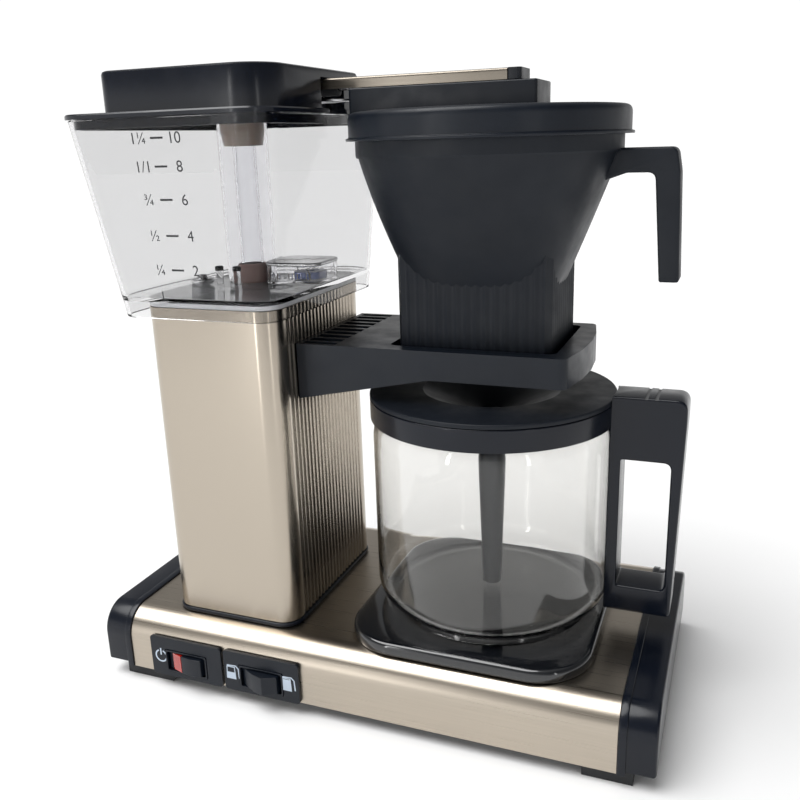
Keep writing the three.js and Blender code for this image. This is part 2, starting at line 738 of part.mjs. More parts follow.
const selectorRocker = makeRocker(SELECTOR_X, SELECTOR_ROCKER_BULGE, false);
const frontReach = -selectorRocker.boundingBox().min[1];

// The rear cord inlet, turned about Y. It reaches as far back as the rocker reaches forward.
function makeCordGland() {
  const wall = BASE_DEPTH / 2;
  const flangeEnd = wall + GAP + GLAND_FLANGE;
  const profile = [
    [GLAND_BORE, wall - 8],
    [GLAND_RADIUS, wall - 8],
    [GLAND_RADIUS, wall + GAP],
    [GLAND_FLANGE_RADIUS, wall + GAP],
    [GLAND_FLANGE_RADIUS, flangeEnd],
    [GLAND_RADIUS, flangeEnd],
    [GLAND_BORE + 1.2, frontReach],
    [GLAND_BORE, frontReach],
  ];
  return turned(profile).rotate([-90, 0, 0]).translate([GLAND_X, 0, GLAND_Z]);
}

// ---- Hot plate ----

function plateOutline(inset) {
  return centredRectangle(
    PLATE_X, PLATE_Y, PLATE_WIDTH - 2 * inset, PLATE_DEPTH - 2 * inset, PLATE_CORNER - inset,
  );
}

function makeHotPlate() {
  const bottom = BASE_TOP + GAP;
  const body = lofted([
    [plateOutline(0), bottom],
    [plateOutline(0), plateTop - 3.2],
    [plateOutline(0.9), plateTop - 1],
    [plateOutline(3), plateTop - GAP],
  ]);
  const disc = cylinder(PLATE_DISC_RADIUS, plateTop - 2, plateTop, PLATE_X, 0, ROUND);
  const inner = PLATE_DISC_RADIUS;
  const outer = inner + PLATE_MOAT_WIDTH;
  const floor = plateTop - PLATE_MOAT_DEPTH;
  const moat = turned([
    [inner, plateTop + 1],
    [inner, plateTop],
    [inner + 1.5, floor],
    [outer - 2.5, floor],
    [outer, plateTop + 1],
  ], ROUND).translate([PLATE_X, 0, 0]);
  const hollow = upright(plateOutline(PLATE_SHEET), bottom - 1, plateCeiling);
  return cut(join(body, disc), moat, hollow);
}

function makeHeaterRing() {
  const z = plateCeiling - GAP - HEATER_ROD_RADIUS;
  const sides = 8;
  const profile = Array.from({ length: sides }, (_, i) => {
    const angle = (i / sides) * 2 * Math.PI;
    return [
      HEATER_RING_RADIUS + HEATER_ROD_RADIUS * Math.cos(angle),
      z + HEATER_ROD_RADIUS * Math.sin(angle),
    ];
  });
  return turned(profile, ROUND).translate([PLATE_X, PLATE_Y, 0]);
}

function makeThermostat() {
  const top = plateCeiling - GAP;
  return join(
    cylinder(THERMOSTAT_RADIUS, top - THERMOSTAT_HEIGHT, top, PLATE_X, PLATE_Y),
    box(PLATE_X - 4, PLATE_X - 3, PLATE_Y - 3, PLATE_Y + 3, top - THERMOSTAT_HEIGHT - 6, top - 2),
    box(PLATE_X + 3, PLATE_X + 4, PLATE_Y - 3, PLATE_Y + 3, top - THERMOSTAT_HEIGHT - 6, top - 2),
  );
}

function makeTerminalBlock() {
  const bottom = panTop + GAP;
  const block = box(-20, 12, 40, 54, bottom, bottom + 12);
  const bores = [-14, -4, 6].map((x) => cylinderLengthwise(2, 39, 55, x, bottom + 5));
  return cut(block, ...bores);
}

place(base, 'base_cover', makeBaseCover(), champagne());
place(base, 'base_pan', makeBasePan(), satinPlastic());
place(base, 'left_end_cap', makeEndCap(-1), glossPlastic());
place(base, 'right_end_cap', makeEndCap(1), glossPlastic());
for (const [name, side, end] of feet) place(base, name, makeFoot(side, end), rubber());
place(base, 'cord_gland', makeCordGland(), rubber());
place(base, 'power_switch_plate', makeSwitchPlate(POWER_X), satinPlastic());
place(base, 'power_switch_body', makeSwitchBody(POWER_X), satinPlastic());
place(base, 'power_rocker', makeRocker(POWER_X, POWER_ROCKER_BULGE, true), satinPlastic());
place(base, 'power_lens', makeLens(POWER_X, POWER_ROCKER_BULGE), redLens());
place(base, 'selector_plate', makeSwitchPlate(SELECTOR_X), satinPlastic());
place(base, 'selector_body', makeSwitchBody(SELECTOR_X), satinPlastic());
place(base, 'selector_rocker', selectorRocker, satinPlastic());
place(base, 'hot_plate', makeHotPlate(), enamel());
place(base, 'hot_plate_element', makeHeaterRing(), steel());
place(base, 'hot_plate_thermostat', makeThermostat(), glossPlastic());
place(base, 'terminal_block', makeTerminalBlock(), satinPlastic());

// ---- Tower ----

const tower = assembly(brewer);

// The tower's plan: a rounded rectangle with upright flutes pressed into both side walls.
function flutedOutline() {
  const plain = centredRectangle(TOWER_X, TOWER_Y, TOWER_WIDTH, TOWER_DEPTH, TOWER_CORNER);
  const flutes = [];
  const halfRun = (FLUTE_COUNT * FLUTE_PITCH) / 2;
  for (const side of [1, -1]) {
    const wall = [];
    for (let i = 0; i <= 2 * FLUTE_COUNT; i += 1) {
      const inset = i % 2 ? FLUTE_DEPTH : 0;
      const y = TOWER_Y + side * (i * FLUTE_PITCH / 2 - halfRun);
      wall.push(new THREE.Vector2(TOWER_X + side * (TOWER_WIDTH / 2 - inset), y));
    }
    flutes.push(wall);
  }
  const points = plain.getPoints(BEND_STEPS).slice(0, -1);
  const perCorner = points.length / 4;
  return new THREE.Shape([
    ...points.slice(0, perCorner),
    ...flutes[0],
    ...points.slice(perCorner, 3 * perCorner),
    ...flutes[1],
    ...points.slice(3 * perCorner),
  ]);
}

const screwY = [TOWER_Y - SCREW_SPREAD / 2, TOWER_Y + SCREW_SPREAD / 2];
const screwZ = (holderTop + gussetBottom) / 2;

function makeTowerHousing() {
  const shell = upright(flutedOutline(), towerBottom, towerTop);
  const inner = centredRectangle(
    TOWER_X, TOWER_Y, towerInnerWidth, towerInnerDepth, TOWER_CORNER - TOWER_SHEET,
  );
  const hollow = upright(inner, towerBottom - 1, towerTop + 1);
  const screwHoles = screwY.map((y) =>
    cylinderAcross(SCREW_RADIUS + GAP, towerRight - 6, towerRight + 1, y, screwZ));
  return cut(shell, hollow, ...screwHoles);
}

function makeTowerGasket() {
  const width = TOWER_WIDTH + 2 * GASKET_LIP;
  const depth = TOWER_DEPTH + 2 * GASKET_LIP;
  const bottom = BASE_TOP + GAP;
  const outer = centredRectangle(TOWER_X, TOWER_Y, width, depth, TOWER_CORNER + GASKET_LIP);
  const inner = centredRectangle(
    TOWER_X, TOWER_Y, width - 2 * GASKET_WIDTH, depth - 2 * GASKET_WIDTH,
    TOWER_CORNER + GASKET_LIP - GASKET_WIDTH,
  );
  return cut(
    upright(outer, bottom, bottom + GASKET_HEIGHT),
    upright(inner, bottom - 1, bottom + GASKET_HEIGHT + 1),
  );
}

function makeTowerCap() {
  const plate = upright(
    centredRectangle(TOWER_X, TOWER_Y, TOWER_WIDTH, TOWER_DEPTH, TOWER_CORNER),
    towerTop + GAP,
    capTop,
  );
  const plug = upright(
    centredRectangle(
      TOWER_X, TOWER_Y, towerInnerWidth - 2 * GAP, towerInnerDepth - 2 * GAP, TOWER_CORNER - TOWER_SHEET,
    ),
    towerTop + GAP - CAP_PLUG,
    towerTop + GAP + 1,
  );
  const reach = [towerTop - CAP_PLUG - 1, capTop + 1];
  return cut(
    join(plate, plug),
    cylinder(TUBE_RADIUS + GAP + SEAL_WALL + GAP, ...reach, RISER_X, 0),
    cylinder(TUBE_RADIUS + GAP, ...reach, INLET_X, 0),
  );
}

// A rod bent into a U below the riser and the inlet.
function bentRod(radius, leftTop, rightTop, y) {
  const bend = (INLET_X - RISER_X) / 2;
  const knee = boilerBottom + TUBE_RADIUS + bend;
  const torus = new THREE.TorusGeometry(bend, radius, BOILER_FACETS, 16).rotateX(Math.PI / 2);
  const loop = solid(torus.translate(RISER_X + bend, y, knee));
  const reach = bend + radius + 1;
  const lower = box(
    RISER_X + bend - reach, RISER_X + bend + reach, y - radius - 1, y + radius + 1, knee - reach, knee,
  );
  return join(
    loop.intersect(lower),
    cylinder(radius, knee, leftTop, RISER_X, y, BOILER_FACETS),
    cylinder(radius, knee, rightTop, INLET_X, y, BOILER_FACETS),
  );
}

function makeBoiler() {
  return cut(
    bentRod(TUBE_RADIUS, boilerTop, boilerInletTop, 0),
    bentRod(tubeBore, boilerTop + 1, boilerInletTop + 1, 0),
  );
}

function makeBoilerElement() {
  return bentRod(ELEMENT_RADIUS, elementTop, elementTop, TUBE_RADIUS + ELEMENT_SPACING + ELEMENT_RADIUS);
}

const valveBottom = boilerInletTop + GAP;
const valveTop = valveBottom + VALVE_BODY_HEIGHT;

function makeCheckValve() {
  const spigotRadius = tubeBore - GAP;
  const bore = spigotRadius - 1.4;
  const cage = VALVE_BALL_RADIUS + 1;
  return turned([
    [bore, valveBottom - VALVE_SPIGOT],
    [spigotRadius, valveBottom - VALVE_SPIGOT],
    [spigotRadius, valveBottom],
    [VALVE_BODY_RADIUS, valveBottom],
    [VALVE_BODY_RADIUS, valveTop],
    [TUBE_RADIUS, valveTop],
    [TUBE_RADIUS, valveTop + VALVE_SPIGOT],
    [bore, valveTop + VALVE_SPIGOT],
    [bore, valveTop - 1],
    [cage, valveTop - 3],
    [cage, valveBottom + 4],
    [bore, valveBottom + 2],
  ]).translate([INLET_X, 0, 0]);
}

function makeValveBall() {
  const geometry = new THREE.SphereGeometry(VALVE_BALL_RADIUS, 14, 10);
  const z = valveBottom + 4 + VALVE_BALL_RADIUS - 1.1;
  return solid(geometry.translate(INLET_X, 0, z));
}

function sleeveAt(x, bottom, top) {
  return ring(sleeveRadius, TUBE_RADIUS + GAP, bottom, top).translate([x, 0, 0]);
}

function makeThermalCutout() {
  const rear = -TUBE_RADIUS - GAP;
  const z = boilerTop - 50;
  const left = RISER_X - CUTOUT_WIDTH / 2;
  const can = box(left, left + CUTOUT_WIDTH, rear - CUTOUT_DEPTH, rear, z, z + CUTOUT_HEIGHT);
  const top = z + CUTOUT_HEIGHT;
  const tab = box(RISER_X - 2.5, RISER_X + 2.5, rear - 4, rear - 3, top - 1, top + 6);
  return join(can, tab);
}

place(tower, 'tower_gasket', makeTowerGasket(), rubber());
place(tower, 'tower_housing', makeTowerHousing(), champagne());
place(tower, 'tower_cap', makeTowerCap(), satinPlastic());
place(tower, 'boiler_tube', makeBoiler(), copper());
place(tower, 'boiler_element', makeBoilerElement(), steel());
place(tower, 'check_valve', makeCheckValve(), clearPlastic());
place(tower, 'check_valve_ball', makeValveBall(), steel());
place(tower, 'inlet_hose', sleeveAt(INLET_X, valveTop + GAP, towerTop - CAP_PLUG), silicone());
place(
  tower,
  'riser_joint',
  sleeveAt(RISER_X, boilerTop - SLEEVE_GRIP, boilerTop + GAP + SLEEVE_GRIP),
  silicone(),
);
place(tower, 'thermal_cutout', makeThermalCutout(), glossPlastic());

// ---- Water tank ----

const tank = assembly(brewer);

const tankFoot = {
  left: TOWER_X - TOWER_WIDTH / 2 - TANK_FIT - TANK_LEFT_OVERHANG,
  right: towerRight + TANK_FIT + TANK_WALL,
  front: TOWER_Y - TOWER_DEPTH / 2 - TANK_FIT - TANK_WALL,
  rear: TOWER_Y + TOWER_DEPTH / 2 + TANK_FIT + TANK_REAR_OVERHANG,
};

// The tank's plan at a height, drawn in by an inset.
function tankOutline(z, inset) {
  const rise = (z - tankBottom) / (tankTop - tankBottom);
  return roundedRectangle(
    tankFoot.left - rise * TANK_LEAN_LEFT + inset,
    tankFoot.right + rise * TANK_LEAN_RIGHT - inset,
    tankFoot.front - rise * TANK_LEAN_FRONT + inset,
    tankFoot.rear + rise * TANK_LEAN_REAR - inset,
    THREE.MathUtils.lerp(TOWER_CORNER + TANK_FIT + TANK_WALL, TANK_CORNER, rise) - inset,
  );
}

function tankBlock(bottom, top, inset) {
  return lofted([[tankOutline(bottom, inset), bottom], [tankOutline(top, inset), top]]);
}

function makeWaterTank() {
  const shell = cut(
    tankBlock(tankBottom, tankTop, 0),
    tankBlock(tankFloor, tankTop + 1, TANK_WALL),
    tankBlock(tankBottom - 1, tankFloorBottom, TANK_WALL),
  );
  const spoutBottom = tankFloorBottom - SPOUT_DROP;
  const spout = cylinder(TUBE_RADIUS, spoutBottom, tankFloorBottom + 1, INLET_X, 0);
  const pegs = [0, 1].map((i) =>
    cylinder(PEG_RADIUS, tankFloor - 1, tankFloor + PEG_HEIGHT, PEG_FIRST_X + i * PEG_PITCH, PEG_Y, 12));
  return cut(
    join(shell, spout, ...pegs),
    cylinder(tubeBore, spoutBottom - 1, tankFloor + 1, INLET_X, 0),
    cylinder(TUBE_RADIUS + GAP + SEAL_WALL + GAP, tankFloorBottom - 1, tankFloor + 1, RISER_X, 0),
    cylinder(2.3, tankFloorBottom - 1, tankFloor + 1, NUT_X, NUT_Y, 12),
  );
}

// A soft bush: its neck passes through the tank's floor and its flange rests on it.
function makeRiserSeal() {
  const bore = TUBE_RADIUS + GAP;
  const flange = tankFloor + GAP;
  return turned([
    [bore, capTop],
    [bore + SEAL_WALL, capTop],
    [bore + SEAL_WALL, flange],
    [SEAL_RADIUS, flange],
    [SEAL_RADIUS - 0.6, flange + SEAL_HEIGHT - 2],
    [bore + 1.2, flange + SEAL_HEIGHT],
    [bore, flange + SEAL_HEIGHT],
  ]).translate([RISER_X, 0, 0]);
}

function makeRiserColumn() {
  return ring(COLUMN_RADIUS, COLUMN_RADIUS - COLUMN_WALL, tankFloor + GAP, columnTop, 28)
    .translate([RISER_X, 0, 0]);
}

function makeRiserCollar() {
  const bore = TUBE_RADIUS + GAP;
  const fit = COLUMN_RADIUS - COLUMN_WALL - GAP;
  const flange = columnTop + GAP;
  return turned([
    [bore, collarBottom],
    [fit - 1.6, collarBottom],
    [fit, collarBottom + 8],
    [fit, flange],
    [COLUMN_RADIUS, flange],
    [COLUMN_RADIUS, flange + COLLAR_FLANGE],
    [bore, flange + COLLAR_FLANGE],
  ], 28).translate([RISER_X, 0, 0]);
}

function makeRiserPipe() {
  return ring(TUBE_RADIUS, tubeBore, boilerTop + GAP, riserTop).translate([RISER_X, 0, 0]);
}

function floatBoxOutline(inset) {
  return centredRectangle(
    floatBoxX, 0, FLOAT_BOX_WIDTH - 2 * inset, FLOAT_BOX_DEPTH - 2 * inset, FLOAT_BOX_CORNER - inset,
  );
}

function makeFloatHousing() {
  const bottom = tankFloor + GAP;
  const top = bottom + FLOAT_BOX_HEIGHT;
  const walls = cut(
    upright(floatBoxOutline(0), bottom, top),
    upright(floatBoxOutline(FLOAT_BOX_WALL), bottom + 1.2, top + 1),
  );
  const inlet = cylinder(TUBE_RADIUS, bottom - 1, bottom + 2, INLET_X, 0);
  const post = cylinder(FLOAT_POST_RADIUS, bottom + 0.5, top - GAP, FLOAT_POST_X, 0, 14);
  const pitch = FLOAT_BOX_WIDTH / (FLOAT_BOX_SLOTS + 1);
  const slots = Array.from({ length: FLOAT_BOX_SLOTS }, (_, i) => {
    const x = floatBoxX + (i - (FLOAT_BOX_SLOTS - 1) / 2) * pitch;
    return box(x - 1, x + 1, -FLOAT_BOX_DEPTH, FLOAT_BOX_DEPTH, bottom + 2.5, bottom + 6.5);
  });
  return join(cut(walls, inlet, ...slots), post);
}

function makeFloatCover() {
  const bottom = tankFloor + GAP + FLOAT_BOX_HEIGHT + GAP;
  const plate = lofted([
    [floatBoxOutline(-0.6), bottom],
    [floatBoxOutline(-0.6), bottom + FLOAT_COVER_SHEET * 0.6],
    [floatBoxOutline(0), bottom + FLOAT_COVER_SHEET],
  ]);
  const slot = box(-4.5, 4.5, -0.7, 0.7, bottom - 1, bottom + FLOAT_COVER_SHEET + 1).rotate([0, 0, 55]);
  const slots = [-9, 0, 9].map((offset) => slot.translate([floatBoxX + offset, offset * 0.35, 0]));
  return cut(plate, ...slots);
}

function makeFloatRing() {
  const bottom = tankFloor + GAP + 1.2 + GAP;
  const float = ring(FLOAT_RADIUS, FLOAT_POST_RADIUS + 0.6, bottom, bottom + FLOAT_HEIGHT);
  return float.translate([FLOAT_POST_X, 0, 0]);
}

function makeTankNut() {
  const seat = tankFloor + GAP;
  return turned([
    [0, capTop + GAP],
    [2, capTop + GAP],
    [2, seat],
    [NUT_RADIUS, seat],
    [NUT_RADIUS - 0.4, seat + 1],
    [3.4, seat + 1.2],
    [2.6, seat + 3],
    [0, seat + 3.4],
  ], 16).translate([NUT_X, NUT_Y, 0]);
}

// ---- Tank lid ----

function lidBlockOutline(inset) {
  const corner = LID_BLOCK_CORNER - inset;
  return roundedRectangle(
    LID_BLOCK_LEFT + inset,
    LID_BLOCK_RIGHT - inset,
    LID_BLOCK_FRONT + inset,
    LID_BLOCK_REAR - inset,
    [LID_BLOCK_FRONT_RIGHT_CORNER - inset, corner, corner, corner],
  );
}

function makeTankLid() {
  const flange = lofted([
    [tankOutline(tankTop, -LID_OVERHANG), lidFlangeBottom],
    [tankOutline(tankTop, -LID_OVERHANG), lidFlangeTop - 0.8],
    [tankOutline(tankTop, -LID_OVERHANG + 0.8), lidFlangeTop],
  ]);
  const block = lofted([
    [lidBlockOutline(0), lidFlangeTop - 1],
    [lidBlockOutline(0), lidBlockTop - 2],
    [lidBlockOutline(0.6), lidBlockTop - 0.6],
    [lidBlockOutline(2), lidBlockTop],
  ]);
  const skirtInset = TANK_WALL + GAP + 0.9;
  const skirtBottom = lidFlangeBottom - LID_SKIRT;
  const skirt = cut(
    upright(tankOutline(tankTop, skirtInset), skirtBottom, lidFlangeBottom + 1),
    upright(tankOutline(tankTop, skirtInset + LID_WALL), skirtBottom - 1, lidFlangeBottom),
  );
  const notchTop = armTop + 2 * GAP;
  const notchLeft = LID_BLOCK_RIGHT - LID_NOTCH_DEPTH;
  const halfNotch = LID_NOTCH_WIDTH / 2;
  const beyond = LID_BLOCK_RIGHT + 1;
  const cavity = cut(
    upright(lidBlockOutline(LID_WALL), lidFlangeBottom - 1, lidBlockTop - LID_WALL),
    box(
      notchLeft - LID_WALL, beyond, -halfNotch - LID_WALL, halfNotch + LID_WALL,
      lidFlangeBottom - 2, lidBlockTop,
    ),
  );
  const notch = box(notchLeft, beyond, -halfNotch, halfNotch, lidFlangeTop, notchTop);
  const slot = box(
    notchLeft - 2 * LID_WALL, LID_BLOCK_RIGHT + 2 * LID_NOTCH_DEPTH, -LID_SLOT_WIDTH / 2, LID_SLOT_WIDTH / 2,
    skirtBottom - 1, notchTop,
  );
  return cut(join(flange, block, skirt), cavity, notch, slot);
}

place(tank, 'water_tank', makeWaterTank(), clearPlastic());
place(tank, 'riser_pipe', makeRiserPipe(), glass());
place(tank, 'riser_seal', makeRiserSeal(), silicone());
place(tank, 'riser_column', makeRiserColumn(), clearPlastic());
place(tank, 'riser_collar', makeRiserCollar(), silicone());
place(tank, 'float_housing', makeFloatHousing(), clearPlastic());
place(tank, 'float_cover', makeFloatCover(), steel());
place(tank, 'float_ring', makeFloatRing(), bluePlastic());
place(tank, 'tank_nut', makeTankNut(), steel());
place(tank, 'tank_lid', makeTankLid(), satinPlastic());

// ---- Outlet arm ----

const arm = assembly(brewer);

function makeOutletElbow() {
  const bottom = collarTop + GAP;
  const roof = armSleeveZ + ARM_SLEEVE_RADIUS + ELBOW_ROOF;
  const socket = turned([
    [0, bottom],
    [ELBOW_RADIUS, bottom],
    [ELBOW_RADIUS, roof - 2],
    [ELBOW_RADIUS - 2, roof],
    [0, roof],
  ]).translate([RISER_X, 0, 0]);
  const sleeve = cylinderAcross(ARM_SLEEVE_RADIUS, RISER_X, ARM_SLEEVE_END, 0, armSleeveZ);
  return cut(
    join(socket, sleeve),
    cylinder(TUBE_RADIUS + GAP, bottom - 1, roof - ELBOW_ROOF, RISER_X, 0),
    cylinderAcross(ARM_TUBE_RADIUS + GAP, RISER_X, ARM_SLEEVE_END + 1, 0, armTubeZ),
  );
}

const armCapLeft = ARM_RIGHT - ARM_CAP_LENGTH;

function makeArmCover() {
  const half = ARM_WIDTH / 2;
  const right = armCapLeft - GAP;
  const shell = across(polygon([
    [-half, armBottom], [half, armBottom], [half, armTop - 1],
    [half - 1, armTop], [1 - half, armTop], [-half, armTop - 1],
  ]), ARM_LEFT, right);
  const hollow = box(
    ARM_LEFT - 1, right + 1, ARM_SHEET - half, half - ARM_SHEET, armBottom - 1, armTop - ARM_SHEET,
  );
  return cut(shell, hollow);
}

function makeArmTube() {
  const left = ARM_SLEEVE_END - 8;
  const right = ARM_RIGHT - ARM_SHEET - 2;
  const pipe = cut(
    cylinderAcross(ARM_TUBE_RADIUS, left, right, 0, armTubeZ),
    cylinderAcross(ARM_TUBE_RADIUS - ARM_TUBE_WALL, left - 1, right - 1, 0, armTubeZ),
  );
  const holes = [-16, -8, 0, 8].map((offset) =>
    cylinder(0.6, armTubeZ - ARM_TUBE_RADIUS - 1, armTubeZ, BASKET_X + offset, 0, 8));
  return cut(pipe, ...holes);
}

function makeArmEndCap() {
  const half = ARM_WIDTH / 2;
  const head = upright(
    roundedRectangle(armCapLeft, ARM_RIGHT, -half, half, [2, 2, 0.5, 0.5]),
    armBottom,
    armTop,
  );
  const inset = ARM_SHEET + GAP;
  const plug = box(
    armCapLeft - 6, armCapLeft + 1, inset - half, half - inset, armBottom, armTop - inset,
  );
  const bore = cylinderAcross(ARM_TUBE_RADIUS + GAP, armCapLeft - 7, ARM_RIGHT - ARM_SHEET - 1, 0, armTubeZ);
  return cut(join(head, plug), bore);
}

// A wire staple that hooks the arm to the elbow.
function makeArmClip() {
  const root = RISER_X + 8;
  const bend = CLIP_HALF_WIDTH;
  const path = new THREE.CatmullRomCurve3([
    new THREE.Vector3(root, -CLIP_HALF_WIDTH, clipZ),
    new THREE.Vector3((root + CLIP_END) / 2, -CLIP_HALF_WIDTH, clipZ),
    new THREE.Vector3(CLIP_END - bend, -CLIP_HALF_WIDTH, clipZ),
    new THREE.Vector3(CLIP_END, 0, clipZ),
    new THREE.Vector3(CLIP_END - bend, CLIP_HALF_WIDTH, clipZ),
    new THREE.Vector3((root + CLIP_END) / 2, CLIP_HALF_WIDTH, clipZ),
    new THREE.Vector3(root, CLIP_HALF_WIDTH, clipZ),
  ]);
  return tube(path, CLIP_WIRE_RADIUS, 0, 30, 3);
}

place(arm, 'outlet_elbow', makeOutletElbow(), rubber());
place(arm, 'outlet_arm_cover', makeArmCover(), champagne());
place(arm, 'outlet_tube', makeArmTube(), steel());
place(arm, 'outlet_arm_end_cap', makeArmEndCap(), satinPlastic());
place(arm, 'outlet_clip', makeArmClip(), steel());

// ---- Basket holder ----

const holder = assembly(brewer);

function holderOutline() {
  const halfDepth = (holderRear - holderFront) / 2;
  const middle = (holderRear + holderFront) / 2;
  const shape = new THREE.Shape();
  shape.moveTo(towerRight + GAP, holderRear);
  shape.lineTo(towerRight + GAP, holderFront);
  shape.lineTo(holderRight - 4, holderFront);
  shape.quadraticCurveTo(holderRight, holderFront, holderRight + 0.6, holderFront + 4);
  shape.quadraticCurveTo(
    holderRight + 2 * HOLDER_BULGE, middle, holderRight + 0.6, middle + halfDepth - 4,
  );
  shape.quadraticCurveTo(holderRight, holderRear, holderRight - 4, holderRear);
  shape.closePath();
  return shape;
}

function makeBasketHolder() {
  const left = towerRight + GAP;
  const profile = lengthwise(polygon([
    [left - 1, holderTop],
    [left - 1, gussetBottom],
    [HOLDER_GUSSET_END, holderBottom],
    [holderRight + 3 * HOLDER_BULGE, holderBottom],
    [holderRight + 3 * HOLDER_BULGE, holderTop],
  ]), holderFront - 1, holderRear + 1);
  const body = upright(holderOutline(), gussetBottom - 1, holderTop).intersect(profile);
  const neckLeft = left + HOLDER_WALL;
  const neckRight = HOLDER_LEFT - HOLDER_WALL;
  const neckFloor = gussetBottom + 3 * HOLDER_WALL;
  const neck = box(
    neckLeft, neckRight, holderFront + HOLDER_WALL, holderRear - HOLDER_WALL, neckFloor, holderTop + 1,
  );
  const seat = upright(
    centredRectangle(
      BASKET_X, 0, BOX_WIDTH + 2 * HOLDER_SEAT_CLEARANCE, BOX_DEPTH + 2 * HOLDER_SEAT_CLEARANCE, 4,
    ),
    holderSeat,
    holderTop + 1,
  );
  const drain = cylinder(HOLDER_DRAIN_RADIUS, holderBottom - 1, holderSeat + 1, BASKET_X, 0, 32);
  const pitch = (holderRear - holderFront) / (HOLDER_SLATS + 1);
  const slats = Array.from({ length: HOLDER_SLATS }, (_, i) => {
    const y = holderFront + (i + 1) * pitch;
    return box(
      neckLeft - 1, neckRight + 1, y - HOLDER_SLAT_WIDTH / 2, y + HOLDER_SLAT_WIDTH / 2,
      holderTop - HOLDER_SLAT_HEIGHT, holderTop,
    );
  });
  const screwBores = screwY.map((y) =>
    cylinderAcross(SCREW_RADIUS + GAP, left - 1, neckLeft + 1, y, screwZ));
  return cut(join(cut(body, neck, seat, drain), ...slats), ...screwBores);
}

// A pan-head screw along X, its head inside the tower wall.
function makeHolderScrew(y) {
  const innerWall = towerRight - TOWER_SHEET - FLUTE_DEPTH - GAP;
  return join(
    cylinderAcross(SCREW_HEAD_RADIUS, innerWall - SCREW_HEAD, innerWall, y, screwZ),
    cylinderAcross(SCREW_RADIUS, innerWall - 1, innerWall + SCREW_GRIP, y, screwZ),
  );
}

place(holder, 'basket_holder', makeBasketHolder(), satinPlastic());
place(holder, 'holder_screw_front', makeHolderScrew(screwY[0]), steel());
place(holder, 'holder_screw_rear', makeHolderScrew(screwY[1]), steel());

// ---- Filter basket ----

const basket = assembly(brewer, BASKET_X);

// A plan section that is round at the top and grows squarer and flatter towards the bottom.
function coneSection(height, inset) {
  const rise = (height - coneBottom) / (collarFoot - coneBottom);
  const halfWidth = THREE.MathUtils.lerp(CONE_BOTTOM_HALF_WIDTH, CONE_TOP_RADIUS, rise) - inset;
  const halfDepth = THREE.MathUtils.lerp(CONE_BOTTOM_HALF_DEPTH, CONE_TOP_RADIUS, rise) - inset;
  const squareness = THREE.MathUtils.lerp(4, 2, Math.min(1, rise));
  return Array.from({ length: ROUND }, (_, i) => {
    const angle = (i / ROUND) * 2 * Math.PI;
    const along = Math.cos(angle);
    const back = Math.sin(angle);
    return new THREE.Vector3(
      halfWidth * Math.sign(along) * Math.abs(along) ** (2 / squareness),
      halfDepth * Math.sign(back) * Math.abs(back) ** (2 / squareness),
      height,
    );
  });
}

function coneSolid(inset, bottom, top) {
  const heights = Array.from({ length: CONE_STEPS + 1 }, (_, i) =>
    THREE.MathUtils.lerp(bottom, top, i / CONE_STEPS));
  const sections = heights.map((height) => coneSection(height, inset));
  return solid(new LoftGeometry(sections, { capStart: true, capEnd: true }));
}

// A rectangle whose walls carry upright V ribs.
function ribbedOutline(width, depth) {
  const points = [];
  const corners = [[-1, -1], [1, -1], [1, 1], [-1, 1]];
  corners.forEach(([sx, sy], i) => {
    const [nx, ny] = corners[(i + 1) % 4];
    const from = new THREE.Vector2(sx * width / 2, sy * depth / 2);
    const to = new THREE.Vector2(nx * width / 2, ny * depth / 2);
    const run = to.clone().sub(from);
    const inward = new THREE.Vector2(-run.y, run.x).normalize();
    const ribs = Math.floor((run.length() - 2 * BOX_CORNER) / RIB_PITCH);
    const margin = (run.length() - ribs * RIB_PITCH) / 2;
    const direction = run.clone().normalize();
    for (let k = 0; k <= 2 * ribs; k += 1) {
      const point = from.clone().addScaledVector(direction, margin + (k * RIB_PITCH) / 2);
      points.push(k % 2 ? point.addScaledVector(inward, RIB_DEPTH) : point);
    }
  });
  return new THREE.Shape(points);
}

function makeBasketHandle() {
  const reach = BASKET_HANDLE_REACH;
  const inside = reach - BASKET_GRIP_WIDTH;
  const armBottom = basketHandleTop - BASKET_HANDLE_ARM;
  const root = CONE_TOP_RADIUS - 8;
  const shape = new THREE.Shape();
  shape.moveTo(root, basketHandleTop);
  shape.lineTo(root, armBottom - 4);
  shape.quadraticCurveTo(root + 6, armBottom, root + 12, armBottom);
  shape.lineTo(inside - 4 - BASKET_GRIP_LEAN, armBottom);
  shape.quadraticCurveTo(inside - BASKET_GRIP_LEAN, armBottom, inside - BASKET_GRIP_LEAN, armBottom - 4);
  shape.lineTo(inside, basketGripBottom);
  shape.lineTo(reach, basketGripBottom);
  shape.lineTo(reach - BASKET_GRIP_LEAN / 2, armBottom);
  shape.lineTo(reach - BASKET_GRIP_LEAN, basketHandleTop - 4);
  shape.quadraticCurveTo(
    reach - BASKET_GRIP_LEAN, basketHandleTop, reach - BASKET_GRIP_LEAN - 4, basketHandleTop,
  );
  shape.closePath();
  return lengthwise(shape, -BASKET_HANDLE_WIDTH / 2, BASKET_HANDLE_WIDTH / 2);
}

const dripHeadBottom = spoutBottom + SPOUT_WALL + GAP;
const springBottom = dripHeadBottom + DRIP_HEAD + GAP + SPRING_WIRE;

